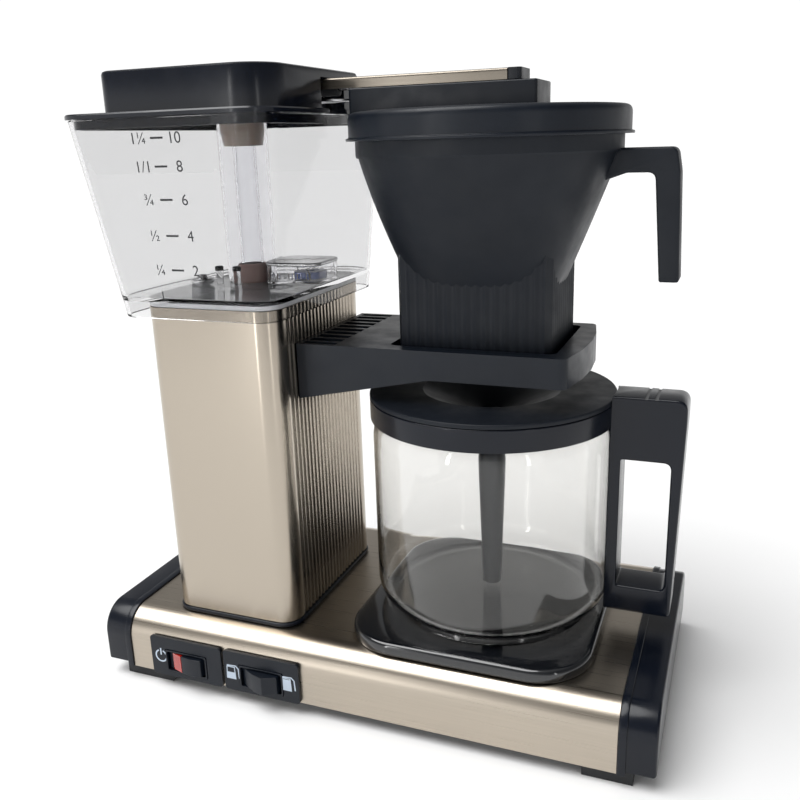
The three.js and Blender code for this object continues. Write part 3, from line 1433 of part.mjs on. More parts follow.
function makeBrewBasket() {
  const walls = cut(
    upright(ribbedOutline(BOX_WIDTH, BOX_DEPTH), basketBottom, boxTop),
    upright(
      centredRectangle(
        0, 0, BOX_WIDTH - 2 * BASKET_WALL - 2 * RIB_DEPTH, BOX_DEPTH - 2 * BASKET_WALL - 2 * RIB_DEPTH,
        BOX_CORNER,
      ),
      basketBottom - 1,
      boxTop + 1,
    ),
  );
  const cone = coneSolid(0, coneBottom, collarFoot);
  const collar = cylinder(BASKET_COLLAR_RADIUS, collarFoot - 0.5, basketTop, 0, 0, ROUND);
  const spout = cylinder(SPOUT_RADIUS, spoutBottom, coneBottom + 1, 0, 0);
  const inside = join(
    coneSolid(BASKET_WALL, coneBottom + BASKET_WALL, collarFoot),
    cylinder(CONE_TOP_RADIUS - BASKET_WALL, collarFoot - 0.5, basketTop + 1, 0, 0, ROUND),
  );
  const boreRadius = SPOUT_RADIUS - SPOUT_WALL;
  const bore = cylinder(boreRadius, spoutBottom + SPOUT_WALL, coneBottom + BASKET_WALL + 1, 0, 0);
  const outlet = cylinder(DRIP_STEM_RADIUS + 1, spoutBottom - 1, spoutBottom + 3, 0, 0);
  const bridgeBottom = springBottom + SPRING_LENGTH + SPRING_WIRE + GAP;
  const bridge = box(
    -boreRadius - 1, boreRadius + 1, -BRIDGE_WIDTH / 2, BRIDGE_WIDTH / 2,
    bridgeBottom, bridgeBottom + BRIDGE_HEIGHT,
  );
  return join(cut(join(walls, cone, collar, spout, makeBasketHandle()), inside, bore, outlet), bridge);
}

function makeBasketLid() {
  const radius = BASKET_LID_RADIUS;
  const underside = basketTop + GAP;
  const inner = BASKET_COLLAR_RADIUS + GAP;
  const disc = turned([
    [0, underside],
    [inner, underside],
    [inner, basketLidBottom],
    [radius + BASKET_LID_RIM, basketLidBottom],
    [radius + BASKET_LID_RIM, basketLidBottom + 1.2],
    [radius, basketLidBottom + 1.6],
    [radius, basketLidTop - BASKET_LID_EDGE],
    [radius - BASKET_LID_EDGE * 0.3, basketLidTop - BASKET_LID_EDGE * 0.3],
    [radius - BASKET_LID_EDGE, basketLidTop],
    [0, basketLidTop],
  ], ROUND + 8);
  const left = BLOCK_LEFT - BASKET_X;
  const right = BLOCK_RIGHT - BASKET_X;
  const half = BLOCK_WIDTH / 2;
  const blockBottom = basketLidTop - 1;
  const block = lengthwise(
    roundedRectangle(left, right, blockBottom - 4, blockTop, [0.5, 3, 3, 0.5]), -half, half,
  ).intersect(box(left - 1, right + 1, -half, half, blockBottom, blockTop));
  const hollow = box(
    left + BLOCK_WALL, right - BLOCK_WALL, BLOCK_WALL - half, half - BLOCK_WALL,
    underside - 1, blockTop - BLOCK_WALL,
  ).intersect(cylinder(inner - 2, 0, blockTop, 0, 0, ROUND));
  const slot = upright(
    centredRectangle(0, 0, BLOCK_SLOT_LENGTH, BLOCK_SLOT_WIDTH, 4), blockTop - BLOCK_WALL - 1, blockTop + 1,
  );
  return cut(join(disc, block), hollow, slot);
}

// The drip stop: a stem through the spout with a cone below that a carafe pushes up.
function makeDripValve() {
  const seatTop = spoutBottom - GAP - DRIP_TRAVEL - 0.6;
  const head = dripHeadBottom;
  return turned([
    [0, dripTip],
    [2.5, dripTip],
    [DRIP_CONE_RADIUS, seatTop - 1],
    [DRIP_CONE_RADIUS, seatTop],
    [DRIP_STEM_RADIUS, seatTop],
    [DRIP_STEM_RADIUS, head],
    [SPOUT_RADIUS - SPOUT_WALL - 1, head],
    [SPOUT_RADIUS - SPOUT_WALL - 1, head + DRIP_HEAD],
    [DRIP_STEM_RADIUS / 2, head + DRIP_HEAD],
    [DRIP_STEM_RADIUS / 2, head + SPRING_LENGTH - DRIP_TRAVEL],
    [0, head + SPRING_LENGTH - DRIP_TRAVEL],
  ]);
}

function makeDripSpring() {
  const steps = SPRING_TURNS * 10;
  const points = Array.from({ length: steps + 1 }, (_, i) => {
    const angle = (i / 10) * 2 * Math.PI;
    const z = springBottom + (SPRING_LENGTH * i) / steps;
    return new THREE.Vector3(SPRING_RADIUS * Math.cos(angle), SPRING_RADIUS * Math.sin(angle), z);
  });
  return tube(new THREE.CatmullRomCurve3(points), SPRING_WIRE, 0, steps, 2);
}

place(basket, 'brew_basket', makeBrewBasket(), satinPlastic());
place(basket, 'basket_lid', makeBasketLid(), satinPlastic());
place(basket, 'drip_stop_valve', makeDripValve(), satinPlastic());
place(basket, 'drip_stop_spring', makeDripSpring(), steel());

// ---- Carafe ----

const carafe = assembly(brewer, CARAFE_X);

// The glass wall's outline from the centre of the foot to the rim, drawn in by an inset.
function glassSide(inset) {
  const heel = CARAFE_HEEL_RADIUS - inset;
  const heelCentre = [CARAFE_RADIUS - CARAFE_HEEL_RADIUS, carafeBottom + CARAFE_HEEL_RADIUS];
  const points = [];
  for (let i = 0; i <= BEND_STEPS; i += 1) {
    const angle = (i / BEND_STEPS) * (Math.PI / 2);
    points.push([heelCentre[0] + heel * Math.sin(angle), heelCentre[1] - heel * Math.cos(angle)]);
  }
  const shoulderBottom = carafeShoulderTop - CARAFE_SHOULDER;
  const drop = CARAFE_RADIUS - CARAFE_NECK_RADIUS;
  for (let i = 0; i <= 4; i += 1) {
    const angle = (i / 4) * (Math.PI / 2);
    points.push([
      CARAFE_NECK_RADIUS + drop * Math.cos(angle) - inset,
      shoulderBottom + CARAFE_SHOULDER * Math.sin(angle),
    ]);
  }
  points.push([CARAFE_NECK_RADIUS - inset, carafeBottom + CARAFE_HEIGHT]);
  return points;
}

function makeGlass() {
  const outside = glassSide(0);
  const inside = glassSide(CARAFE_GLASS).reverse();
  return turned([
    [0, carafeBottom],
    ...outside,
    ...inside,
    [0, carafeBottom + CARAFE_GLASS],
  ], ROUND);
}

function makeCarafeHandle() {
  const bandInner = CARAFE_NECK_RADIUS + GAP;
  const band = ring(BAND_RADIUS, bandInner, bandBottom, bandTop, ROUND);
  const innerFace = BAND_RADIUS - 1;
  const half = HANDLE_WIDTH / 2;
  const corner = HANDLE_CORNER;
  const outline = new THREE.Shape();
  outline.moveTo(innerFace, handleBottom);
  outline.lineTo(HANDLE_REACH - 3, handleBottom);
  outline.lineTo(HANDLE_REACH, handleTop - corner);
  outline.quadraticCurveTo(HANDLE_REACH, handleTop, HANDLE_REACH - corner, handleTop);
  outline.lineTo(innerFace, handleTop);
  outline.closePath();
  const windowLeft = CARAFE_RADIUS + GAP + HANDLE_INNER_LEG;
  const window = roundedRectangle(
    windowLeft, HANDLE_REACH - HANDLE_OUTER_LEG, windowBottom, windowTop, [1.5, 4, 4, 1.5],
  );
  const grip = cut(
    lengthwise(outline, -half, half),
    lengthwise(window, -half - 1, half + 1),
    cylinder(CARAFE_RADIUS + 2 * GAP, handleBottom - 1, bandBottom, 0, 0, ROUND),
    cylinder(BAND_RADIUS - 1, bandBottom - 1, handleTop + 1, 0, 0, ROUND),
    cylinder(BAND_RADIUS + GAP, bandTop, handleTop + 1, 0, 0, ROUND),
  );
  const nub = cylinder(1.4, windowBottom - 1, windowBottom + 5, HANDLE_REACH - 13, half - 2, 10);
  const grooves = [7, 12].map((offset) =>
    box(
      HANDLE_REACH - corner - offset, HANDLE_REACH - corner - offset + 1.6, -half - 1, half + 1,
      handleTop - 0.8, handleTop + 1,
    ));
  return cut(join(band, grip, nub), ...grooves);
}

function makeCarafeLid() {
  const bottom = bandTop + GAP;
  const plugRadius = CARAFE_NECK_RADIUS - CARAFE_GLASS - GAP;
  const funnelBottom = carafeLidTop - FUNNEL_DEPTH;
  const wall = 2;
  return turned([
    [FUNNEL_HOLE, funnelBottom - wall],
    [FUNNEL_HOLE + 2, funnelBottom - wall],
    [FUNNEL_RADIUS + 1, carafeLidTop - wall - 2.4],
    [plugRadius - wall, carafeLidTop - wall - 2.4],
    [plugRadius - wall, bottom - CARAFE_LID_PLUG],
    [plugRadius, bottom - CARAFE_LID_PLUG],
    [plugRadius, bottom],
    [BAND_RADIUS, bottom],
    [BAND_RADIUS, carafeLidTop - 1.2],
    [BAND_RADIUS - 1.2, carafeLidTop],
    [FUNNEL_RADIUS, carafeLidTop],
    [FUNNEL_HOLE, funnelBottom],
  ], ROUND);
}

function makeMixingTube() {
  const top = carafeLidTop - FUNNEL_DEPTH - 2 - GAP;
  const tip = carafeBottom + CARAFE_GLASS + MIXING_TUBE_CLEARANCE;
  return turned([
    [MIXING_TUBE_TIP_RADIUS - MIXING_TUBE_WALL, tip],
    [MIXING_TUBE_TIP_RADIUS, tip],
    [MIXING_TUBE_TOP_RADIUS, top - 4],
    [FUNNEL_HOLE + 4, top - 2],
    [FUNNEL_HOLE + 4, top],
    [MIXING_TUBE_TOP_RADIUS - MIXING_TUBE_WALL, top],
  ], 24);
}

place(carafe, 'carafe_glass', makeGlass(), glass());
place(carafe, 'carafe_handle', makeCarafeHandle(), glossPlastic());
place(carafe, 'carafe_lid', makeCarafeLid(), satinPlastic());
place(carafe, 'mixing_tube', makeMixingTube(), satinPlastic());

export default brewer;
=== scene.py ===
"""Looks for the coffee brewer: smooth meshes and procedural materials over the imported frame.

Lengths are in millimetres until they reach a mesh. Places come from the boxes of the CAD nodes.
"""

import json
import math

import bmesh
import bpy
from mathutils import Matrix, Vector


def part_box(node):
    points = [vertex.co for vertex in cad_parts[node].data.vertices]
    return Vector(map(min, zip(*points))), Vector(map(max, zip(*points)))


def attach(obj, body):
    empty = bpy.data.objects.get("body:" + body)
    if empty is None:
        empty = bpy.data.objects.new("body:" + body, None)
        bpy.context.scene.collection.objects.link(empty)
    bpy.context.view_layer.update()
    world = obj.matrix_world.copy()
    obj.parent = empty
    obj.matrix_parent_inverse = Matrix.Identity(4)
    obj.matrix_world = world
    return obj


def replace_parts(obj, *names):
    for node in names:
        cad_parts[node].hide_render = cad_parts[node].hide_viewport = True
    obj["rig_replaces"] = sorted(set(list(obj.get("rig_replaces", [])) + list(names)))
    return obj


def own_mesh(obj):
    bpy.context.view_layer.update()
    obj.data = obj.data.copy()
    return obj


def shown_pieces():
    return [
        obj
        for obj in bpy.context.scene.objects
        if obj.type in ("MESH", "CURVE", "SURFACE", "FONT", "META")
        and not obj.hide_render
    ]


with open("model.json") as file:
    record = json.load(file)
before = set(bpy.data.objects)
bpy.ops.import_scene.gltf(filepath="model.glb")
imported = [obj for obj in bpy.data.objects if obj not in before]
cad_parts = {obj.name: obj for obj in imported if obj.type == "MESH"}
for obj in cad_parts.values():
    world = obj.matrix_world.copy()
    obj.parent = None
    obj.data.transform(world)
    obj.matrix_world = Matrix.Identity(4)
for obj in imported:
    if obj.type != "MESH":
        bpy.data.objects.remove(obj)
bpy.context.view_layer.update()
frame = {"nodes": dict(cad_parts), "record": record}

MM = 0.001
SHARP = 32  # degrees between faces, past which an edge is shaded sharp
WELD = 2e-6  # metres between points that are made one
record = frame["record"]
body_of_node = {n: body for body, names in record["behaviour"]["bodies"].items() for n in names}
slot_of_node = {s["node"]: s["material_slot"] for s in record["subparts"]}


class Extent:
    """A CAD node's box in millimetres."""

    def __init__(self, node):
        low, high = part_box(node)
        self.left, self.front, self.bottom = (v / MM for v in low)
        self.right, self.rear, self.top = (v / MM for v in high)
        self.x = (self.left + self.right) / 2
        self.y = (self.front + self.rear) / 2


# ---- Meshes ----


def link(name, mesh):
    obj = bpy.data.objects.new(name, mesh)
    bpy.context.scene.collection.objects.link(obj)
    return obj


def smooth(mesh, angle=SHARP):
    for polygon in mesh.polygons:
        polygon.use_smooth = True
    mesh.set_sharp_from_angle(angle=math.radians(angle))


def cleaned(mesh, weld=WELD, flat=None):
    """Welds a mesh's points, joins faces that are flat to each other, and faces it outwards."""
    work = bmesh.new()
    work.from_mesh(mesh)
    bmesh.ops.remove_doubles(work, verts=work.verts, dist=weld)
    if flat:
        bmesh.ops.dissolve_limit(
            work, angle_limit=math.radians(flat), verts=work.verts, edges=work.edges, delimit={"NORMAL"}
        )
    bmesh.ops.recalc_face_normals(work, faces=work.faces)
    work.to_mesh(mesh)
    work.free()
    smooth(mesh)
    return mesh


def solid_mesh(obj):
    """What an object looks like with its modifiers, as a mesh of its own."""
    bpy.context.view_layer.update()
    seen = obj.evaluated_get(bpy.context.evaluated_depsgraph_get())
    return bpy.data.meshes.new_from_object(seen)


def from_faces(name, points, faces):
    """A mesh object from points in millimetres."""
    mesh = bpy.data.meshes.new(name)
    mesh.from_pydata([Vector(p) * MM for p in points], [], faces)
    return link(name, cleaned(mesh, 1e-6))


def add_line(curve, points, closed=True):
    spline = curve.splines.new("POLY")
    spline.points.add(len(points) - 1)
    spline.use_cyclic_u = closed
    for point, place in zip(spline.points, points):
        point.co = (*(c * MM for c in place), 1)


def drawn_mesh(name, curve):
    """The mesh that a curve draws."""
    drawn = link(name + "_curve", curve)
    mesh = solid_mesh(drawn)
    bpy.data.objects.remove(drawn)
    mesh.name = name
    return mesh


def eased(points, closed=True, steps=6):
    """Rounds a line's corners: a point is (a, b) or (a, b, radius)."""
    done = []
    count = len(points)
    for i, point in enumerate(points):
        radius = point[2] if len(point) > 2 else 0
        at = Vector(point[:2])
        if not radius or (not closed and i in (0, count - 1)):
            done.append(tuple(at))
            continue
        before = Vector(points[i - 1][:2]) - at
        after = Vector(points[(i + 1) % count][:2]) - at
        half = before.angle(after) / 2
        reach = min(radius / math.tan(half), 0.49 * before.length, 0.49 * after.length)
        start = at + before.normalized() * reach
        end = at + after.normalized() * reach
        for k in range(steps + 1):
            t = k / steps
            done.append(tuple(start * (1 - t) ** 2 + at * 2 * t * (1 - t) + end * t**2))
    return done


def lathe(name, profile, x=0.0, y=0.0, steps=128, closed=True):
    """Turns a profile of (radius, height) about an upright axis."""
    profile = eased(profile, closed)
    points, rings = [], []
    for radius, height in profile:
        if radius < 1e-6:
            rings.append([len(points)] * steps)
            points.append((x, y, height))
            continue
        rings.append(list(range(len(points), len(points) + steps)))
        for i in range(steps):
            turn = 2 * math.pi * i / steps
            points.append((x + radius * math.cos(turn), y + radius * math.sin(turn), height))
    faces = []
    pairs = list(zip(rings, rings[1:] + rings[:1]))
    for lower, upper in pairs if closed else pairs[:-1]:
        for i in range(steps):
            j = (i + 1) % steps
            face = list(dict.fromkeys([lower[i], lower[j], upper[j], upper[i]]))
            if len(face) > 2:
                faces.append(face)
    return from_faces(name, points, faces)


def rod(name, radius, bottom, top, x):
    """A plain round solid, to cut with."""
    return lathe(name, [(0, bottom), (radius, bottom), (radius, top), (0, top)], x, closed=False)


def sleeve_profile(inner, outer, bottom, top, inner_edge=0.3, outer_edge=0.3):
    return [
        (inner, bottom, inner_edge),
        (outer, bottom, outer_edge),
        (outer, top, outer_edge),
        (inner, top, inner_edge),
    ]


def loft(name, rings, closed=False):
    """Skins rings of equal length, one above the next. An open loft is capped at its ends."""
    size = len(rings[0])
    points = [p for ring in rings for p in ring]
    faces = []
    for k in range(len(rings) if closed else len(rings) - 1):
        a, b = k * size, (k + 1) % len(rings) * size
        faces += [(a + i, a + (i + 1) % size, b + (i + 1) % size, b + i) for i in range(size)]
    if not closed:
        faces += [tuple(range(size))[::-1], tuple(range(len(points) - size, len(points)))]
    return from_faces(name, points, faces)


def quarter(cx, cy, rx, ry, start, steps=14):
    """A quarter of an ellipse, from an angle of start degrees."""
    turns = [math.radians(start + 90 * i / steps) for i in range(steps + 1)]
    return [(cx + rx * math.cos(t), cy + ry * math.sin(t)) for t in turns]


def box_outline(left, right, front, rear, radius, steps=12):
    """A rounded rectangle from its front left corner round by the right."""
    points = []
    for x, y, start in ((left, front, 180), (right, front, 270), (right, rear, 0), (left, rear, 90)):
        cx = x + radius if x == left else x - radius
        cy = y + radius if y == front else y - radius
        points += quarter(cx, cy, radius, radius, start, steps)
    return points


def box_round(box, inset, radius, steps=12):
    """A rounded rectangle inside an Extent's sides."""
    return box_outline(
        box.left + inset, box.right - inset, box.front + inset, box.rear - inset, radius, steps
    )


def circle(radius, x=0.0, y=0.0, steps=64):
    turns = [2 * math.pi * i / steps for i in range(steps)]
    return [(x + radius * math.cos(t), y + radius * math.sin(t)) for t in turns]


TURNS = {
    "z": Matrix(((1, 0, 0), (0, 1, 0), (0, 0, 1))),
    "y": Matrix(((1, 0, 0), (0, 0, -1), (0, 1, 0))),
    "x": Matrix(((0, 0, 1), (1, 0, 0), (0, 1, 0))),
}


def area(outline):
    return sum(a[0] * b[1] - b[0] * a[1] for a, b in zip(outline, outline[1:] + outline[:1])) / 2


def slab(name, outlines, low, high, axis="z", edge=0.6):
    """A flat piece with rounded edges. Its outlines are the outside, then any holes, and it runs
    from low to high along its axis. Along y an outline is (x, z), and along x it is (y, z)."""
    curve = bpy.data.curves.new(name, "CURVE")
    curve.dimensions = "2D"
    curve.fill_mode = "BOTH"
    curve.extrude = ((high - low) / 2 - edge) * MM
    curve.bevel_depth = edge * MM
    curve.offset = -edge * MM
    curve.bevel_resolution = 3
    for i, outline in enumerate(outlines):
        if (area(outline) > 0) == (i > 0):
            outline = outline[::-1]
        add_line(curve, [(a, b, 0) for a, b in outline])
    mesh = drawn_mesh(name, curve)
    middle = (low + high) / 2 * MM
    shift = {"z": (0, 0, middle), "y": (0, middle, 0), "x": (middle, 0, 0)}[axis]
    mesh.transform(Matrix.Translation(shift) @ TURNS[axis].to_4x4())
    return link(name, cleaned(mesh))


def carve(obj, *cutters, keep="DIFFERENCE"):
    """Cuts the cutters from obj, or joins them to it, and removes them."""
    for cutter in cutters:
        step = obj.modifiers.new("cut", "BOOLEAN")
        step.operation = keep
        step.solver = "EXACT"
        step.object = cutter
    mesh = solid_mesh(obj)
    obj.modifiers.clear()
    obj.data = mesh
    smooth(mesh)
    for cutter in cutters:
        bpy.data.objects.remove(cutter)
    return obj


def block(left, right, front, rear, bottom, top):
    """A square-edged box, to cut with."""
    return slab("block", [box_outline(left, right, front, rear, 0.01, 1)], bottom, top, edge=0)


def merged(name, *objects):
    """One object from several, each already in place."""
    work = bmesh.new()
    for obj in objects:
        work.from_mesh(solid_mesh(obj))
        bpy.data.objects.remove(obj)
    mesh = bpy.data.meshes.new(name)
    work.to_mesh(mesh)
    work.free()
    smooth(mesh)
    return link(name, mesh)


def softened(node, width):
    """A CAD node's shape, welded and shaded smooth, with its sharp edges rounded."""
    source = frame["nodes"][node].data
    mesh = bpy.data.meshes.new(node + "_shell")
    mesh.from_pydata([v.co for v in source.vertices], [], [tuple(p.vertices) for p in source.polygons])
    obj = link(node + "_shell", cleaned(mesh, flat=0.6))
    if width:
        soften = obj.modifiers.new("soften", "BEVEL")
        soften.width = width * MM
        soften.segments = 2
        soften.limit_method = "ANGLE"
        soften.angle_limit = math.radians(SHARP + 4)
        soften.harden_normals = True
    return obj


def trim(obj, node, look):
    """Adds a piece, such as a print, that goes with a CAD node."""
    obj.data.materials.clear()
    obj.data.materials.append(finishes[look])
    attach(obj, body_of_node[node])
    return obj


def wear(obj, node, look):
    """Puts a made piece in a CAD node's place, on its body and in its material slot."""
    trim(obj, node, look)
    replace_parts(obj, node)
    return obj


# ---- Materials ----


class Finish:
    """A Principled material whose colour, roughness and bump come from noise in the piece's own space."""

    def __init__(self, name, **sockets):
        self.material = bpy.data.materials.new(name)
        self.material.use_nodes = True
        self.tree = self.material.node_tree
        self.shader = self.tree.nodes["Principled BSDF"]
        self.place = self.add("ShaderNodeTexCoord").outputs["Object"]
        for socket, value in sockets.items():
            self.shader.inputs[socket.replace("_", " ")].default_value = value

    def add(self, kind, inputs=(), **settings):
        node = self.tree.nodes.new(kind)
        for key, value in settings.items():
            setattr(node, key, value)
        for key, value in dict(inputs).items():
            if isinstance(value, bpy.types.NodeSocket):
                self.tree.links.new(value, node.inputs[key])
            else:
                node.inputs[key].default_value = value
        return node

    def noise(self, scale, stretch=(1, 1, 1), detail=3.0, roughness=0.55):
        spread = self.add("ShaderNodeMapping", {"Vector": self.place, "Scale": stretch})
        found = self.add(
            "ShaderNodeTexNoise",
            {"Vector": spread.outputs[0], "Scale": scale, "Detail": detail, "Roughness": roughness},
        )
        return found.outputs[0]

    def between(self, value, low, high):
        """Maps the middle of a noise's range onto low to high."""
        reach = {"Value": value, "From Min": 0.3, "From Max": 0.7, "To Min": low, "To Max": high}
        return self.add("ShaderNodeMapRange", reach).outputs[0]

    def colours(self, value, *stops):
        ramp = self.add("ShaderNodeValToRGB", {"Fac": value})
        ramp.color_ramp.elements[0].position = stops[0][0]
        ramp.color_ramp.elements[0].color = (*stops[0][1], 1)
        ramp.color_ramp.elements[1].position = stops[-1][0]
        ramp.color_ramp.elements[1].color = (*stops[-1][1], 1)
        for position, colour in stops[1:-1]:
            ramp.color_ramp.elements.new(position).color = (*colour, 1)
        return ramp.outputs[0]

    def set(self, socket, value):
        self.tree.links.new(value, self.shader.inputs[socket])

    def bump(self, height, strength, distance):
        made = self.add(
            "ShaderNodeBump", {"Height": height, "Strength": strength, "Distance": distance}
        )
        self.set("Normal", made.outputs[0])


def shade(colour, factor):
    return tuple(min(1.0, c * factor) for c in colour)


def plastic(name, colour, rough, spread=0.08, grain=1400, relief=0.02, tint=0.12, **sockets):
    """Moulded plastic: faint mottling, uneven sheen and a fine moulded grain."""
    finish = Finish(name, **sockets)
    cloud = finish.noise(28, detail=4)
    dark, light = shade(colour, 1 - tint), shade(colour, 1 + tint)
    finish.set("Base Color", finish.colours(cloud, (0.3, dark), (0.7, light)))
    finish.set("Roughness", finish.between(finish.noise(75, detail=5), rough - spread, rough + spread))
    finish.bump(finish.noise(grain, detail=2), relief, 0.00008)
    return finish.material


def brushed(name, colour, along, rough, relief, rotation=0.0, axis="Z", streak=0.06, spread=0.04):
    """Brushed metal, its hairlines long in one direction."""
    finish = Finish(name, Metallic=1.0, Anisotropic=0.55, Anisotropic_Rotation=rotation)
    lines = finish.noise(1, along, detail=4, roughness=0.7)
    cloud = finish.between(finish.noise(14, detail=3), -0.12, 0.12)
    tone = finish.add("ShaderNodeMath", {0: lines, 1: cloud}, operation="ADD").outputs[0]
    dark, light = shade(colour, 1 - streak), shade(colour, 1 + streak)
    finish.set("Base Color", finish.colours(tone, (0.25, dark), (0.5, colour), (0.78, light)))
    finish.set("Roughness", finish.between(lines, rough - spread, rough + spread))
    tangent = finish.add("ShaderNodeTangent", direction_type="RADIAL", axis=axis)
    finish.set("Tangent", tangent.outputs[0])
    finish.bump(lines, relief, 0.00006)
    return finish.material


def clear(name, colour, ior, rough, wave):
    """Clear plastic or glass with faint waviness and smears."""
    finish = Finish(name, Transmission_Weight=1.0, IOR=ior)
    finish.shader.inputs["Base Color"].default_value = (*colour, 1)
    smear = finish.noise(16, detail=5)
    finish.set("Roughness", finish.between(smear, rough * 0.3, rough * 2.2))
    finish.bump(finish.noise(34, detail=2), wave, 0.0004)
    return finish.material


CHAMPAGNE = (0.51, 0.452, 0.378)
NAVY = (0.003, 0.005, 0.0105)
LENS = dict(relief=0.04, Transmission_Weight=0.35, Coat_Weight=0.6)
MADE = (
    (brushed, "champagne_base", shade(CHAMPAGNE, 0.92), (7, 1100, 1100), 0.3, 0.02, 0.25, "X"),
    (brushed, "champagne_tower", shade(CHAMPAGNE, 0.92), (1500, 1500, 5), 0.25, 0, 0.25, "Z", 0.012, 0.008),
    # champagne_arm is the same champagne metal at half brightness: painted shade, a darker copy of one
    # metal for the arm
    (brushed, "champagne_arm", shade(CHAMPAGNE, 0.5), (8, 800, 800), 0.3, 0.02, 0.25, "X"),
    (brushed, "steel", (0.55, 0.55, 0.56), (60, 60, 900), 0.22, 0.06),
    (brushed, "copper", (0.62, 0.27, 0.13), (50, 50, 300), 0.32, 0.08),
    (plastic, "dark_pan", (0.02, 0.022, 0.025), 0.55, dict(relief=0.15)),
    (plastic, "satin_black", (0.004, 0.0068, 0.0125), 0.38, dict(relief=0.04, Specular_IOR_Level=0.32)),
    (plastic, "matte_black", (0.005, 0.0075, 0.0125), 0.5, dict(Specular_IOR_Level=0.3)),
    (plastic, "gloss_black", NAVY, 0.22, dict(spread=0.05, Specular_IOR_Level=0.34)),
    (plastic, "lid_black", NAVY, 0.2, dict(spread=0.04, Specular_IOR_Level=0.42)),
    (plastic, "enamel", (0.005, 0.006, 0.008), 0.12, dict(spread=0.04, Coat_Weight=0.8)),
    (plastic, "rubber", (0.01, 0.011, 0.013), 0.62, dict(relief=0.2, tint=0.2)),
    (plastic, "silicone", (0.5, 0.4, 0.34), 0.42, dict(relief=0.06, Subsurface_Weight=0.15)),
    (plastic, "seal_pink", (0.46, 0.28, 0.24), 0.45, dict(relief=0.06)),
    (plastic, "pale_plastic", (0.82, 0.83, 0.86), 0.32, dict(relief=0.05, tint=0.06)),
    (plastic, "blue_plastic", (0.02, 0.09, 0.42), 0.35, dict(relief=0.05)),
    (plastic, "ink_dark", (0.012, 0.013, 0.015), 0.5, {}),
    (plastic, "ink_pale", (0.5, 0.58, 0.68), 0.5, {}),
    (plastic, "red_lens", (0.55, 0.02, 0.012), 0.12, LENS),
    (clear, "clear_plastic", (0.82, 0.82, 0.823), 1.15, 0.01, 0.01),
    (clear, "clear_inner", (0.97, 0.97, 0.98), 1.25, 0.01, 0.01),
    (clear, "glass", (0.9, 0.897, 0.884), 1.47, 0.004, 0.02),
)
finishes = {}
for maker, name, *values in MADE:
    options = values.pop() if isinstance(values[-1], dict) else {}
    finishes[name] = maker(name, *values, **options)

# ---- Carafe ----

GLASS_WALL = 1.8
GLASS_HEEL = 15
GLASS_FOOT = 44
NECK_RADIUS = 61.6
NECK_HEIGHT = 10
SHOULDER = 11
BAND_DROP = 9.7
BAND_HEIGHT = 12
HANDLE_HALF = 11
WINDOW_SILL = 15
WINDOW_LINTEL = 34
LID_HOLE = 7.5
LID_FUNNEL = 37.8
LID_DISH = 13
ROUND = 160  # steps in the widest turned shapes

glass = Extent("carafe_glass")
carafe_lid = Extent("carafe_lid")
carafe_x = glass.x
glass_radius = glass.right - glass.x
band_radius = carafe_lid.right - carafe_lid.x
band_bottom = glass.top - BAND_DROP
band_top = band_bottom + BAND_HEIGHT


def glass_side(inset):
    heel = GLASS_HEEL - inset
    shoulder_bottom = glass.top - NECK_HEIGHT - SHOULDER
    neck = NECK_RADIUS - inset
    side = quarter(glass_radius - GLASS_HEEL, glass.bottom + GLASS_HEEL, heel, heel, -90)
    side += quarter(neck, shoulder_bottom, glass_radius - NECK_RADIUS, SHOULDER, 0)
    side.append((neck, glass.top - 0.3))
    return side


def make_carafe_glass():
    bottom = glass.bottom
    profile = [(0, bottom + 1.2), (30, bottom + 0.8), (GLASS_FOOT, bottom)]
    profile += glass_side(0) + [(NECK_RADIUS - GLASS_WALL / 2, glass.top)]
    profile += glass_side(GLASS_WALL)[::-1]
    profile += [(GLASS_FOOT, bottom + GLASS_WALL), (0, bottom + GLASS_WALL + 1.4)]
    wall = lathe("carafe_glass_wall", profile, carafe_x, closed=False, steps=ROUND)
    wear(wall, "carafe_glass", "glass")


def make_carafe_handle():
    handle = Extent("carafe_handle")
    reach, foot, head = handle.right, handle.bottom, handle.top
    band_line = sleeve_profile(NECK_RADIUS + 0.3, band_radius, band_bottom, band_top, 0.3, 0.8)
    band = lathe("carafe_band", band_line, carafe_x, steps=ROUND)
    root = carafe_x + band_radius - 2
    outline = [
        (root, foot, 2),
        (reach - 3, foot, 3),
        (reach, head - 12, 6),
        (reach, head, 9),
        (root, head, 2),
    ]
    window_left = carafe_x + glass_radius + 5.7
    window_right = reach - 6.5
    window = [
        (window_left, foot + WINDOW_SILL, 1.5),
        (window_right, foot + WINDOW_SILL, 4),
        (window_right, head - WINDOW_LINTEL, 4),
        (window_left, head - WINDOW_LINTEL, 1.5),
    ]
    grip = slab("grip", [eased(outline, steps=8), eased(window)], -HANDLE_HALF, HANDLE_HALF, "y", 1.3)
    over = head + 14
    carve(
        grip,
        rod("beside", glass_radius + 0.6, 0, band_bottom, carafe_x),
        rod("above", band_radius + 0.3, band_top, over, carafe_x),
        rod("inside", band_radius - 1, foot + 30, over, carafe_x),
    )
    grooves = []
    for back in (7, 12):
        line = box_outline(reach - 9 - back, reach - 7.4 - back, head - 0.8, head + 1, 0.3, 3)
        grooves.append(slab("groove", [line], -HANDLE_HALF - 1, HANDLE_HALF + 1, "y", 0))
    carve(grip, *grooves)
    wear(merged("carafe_band_and_handle", band, grip), "carafe_handle", "gloss_black")


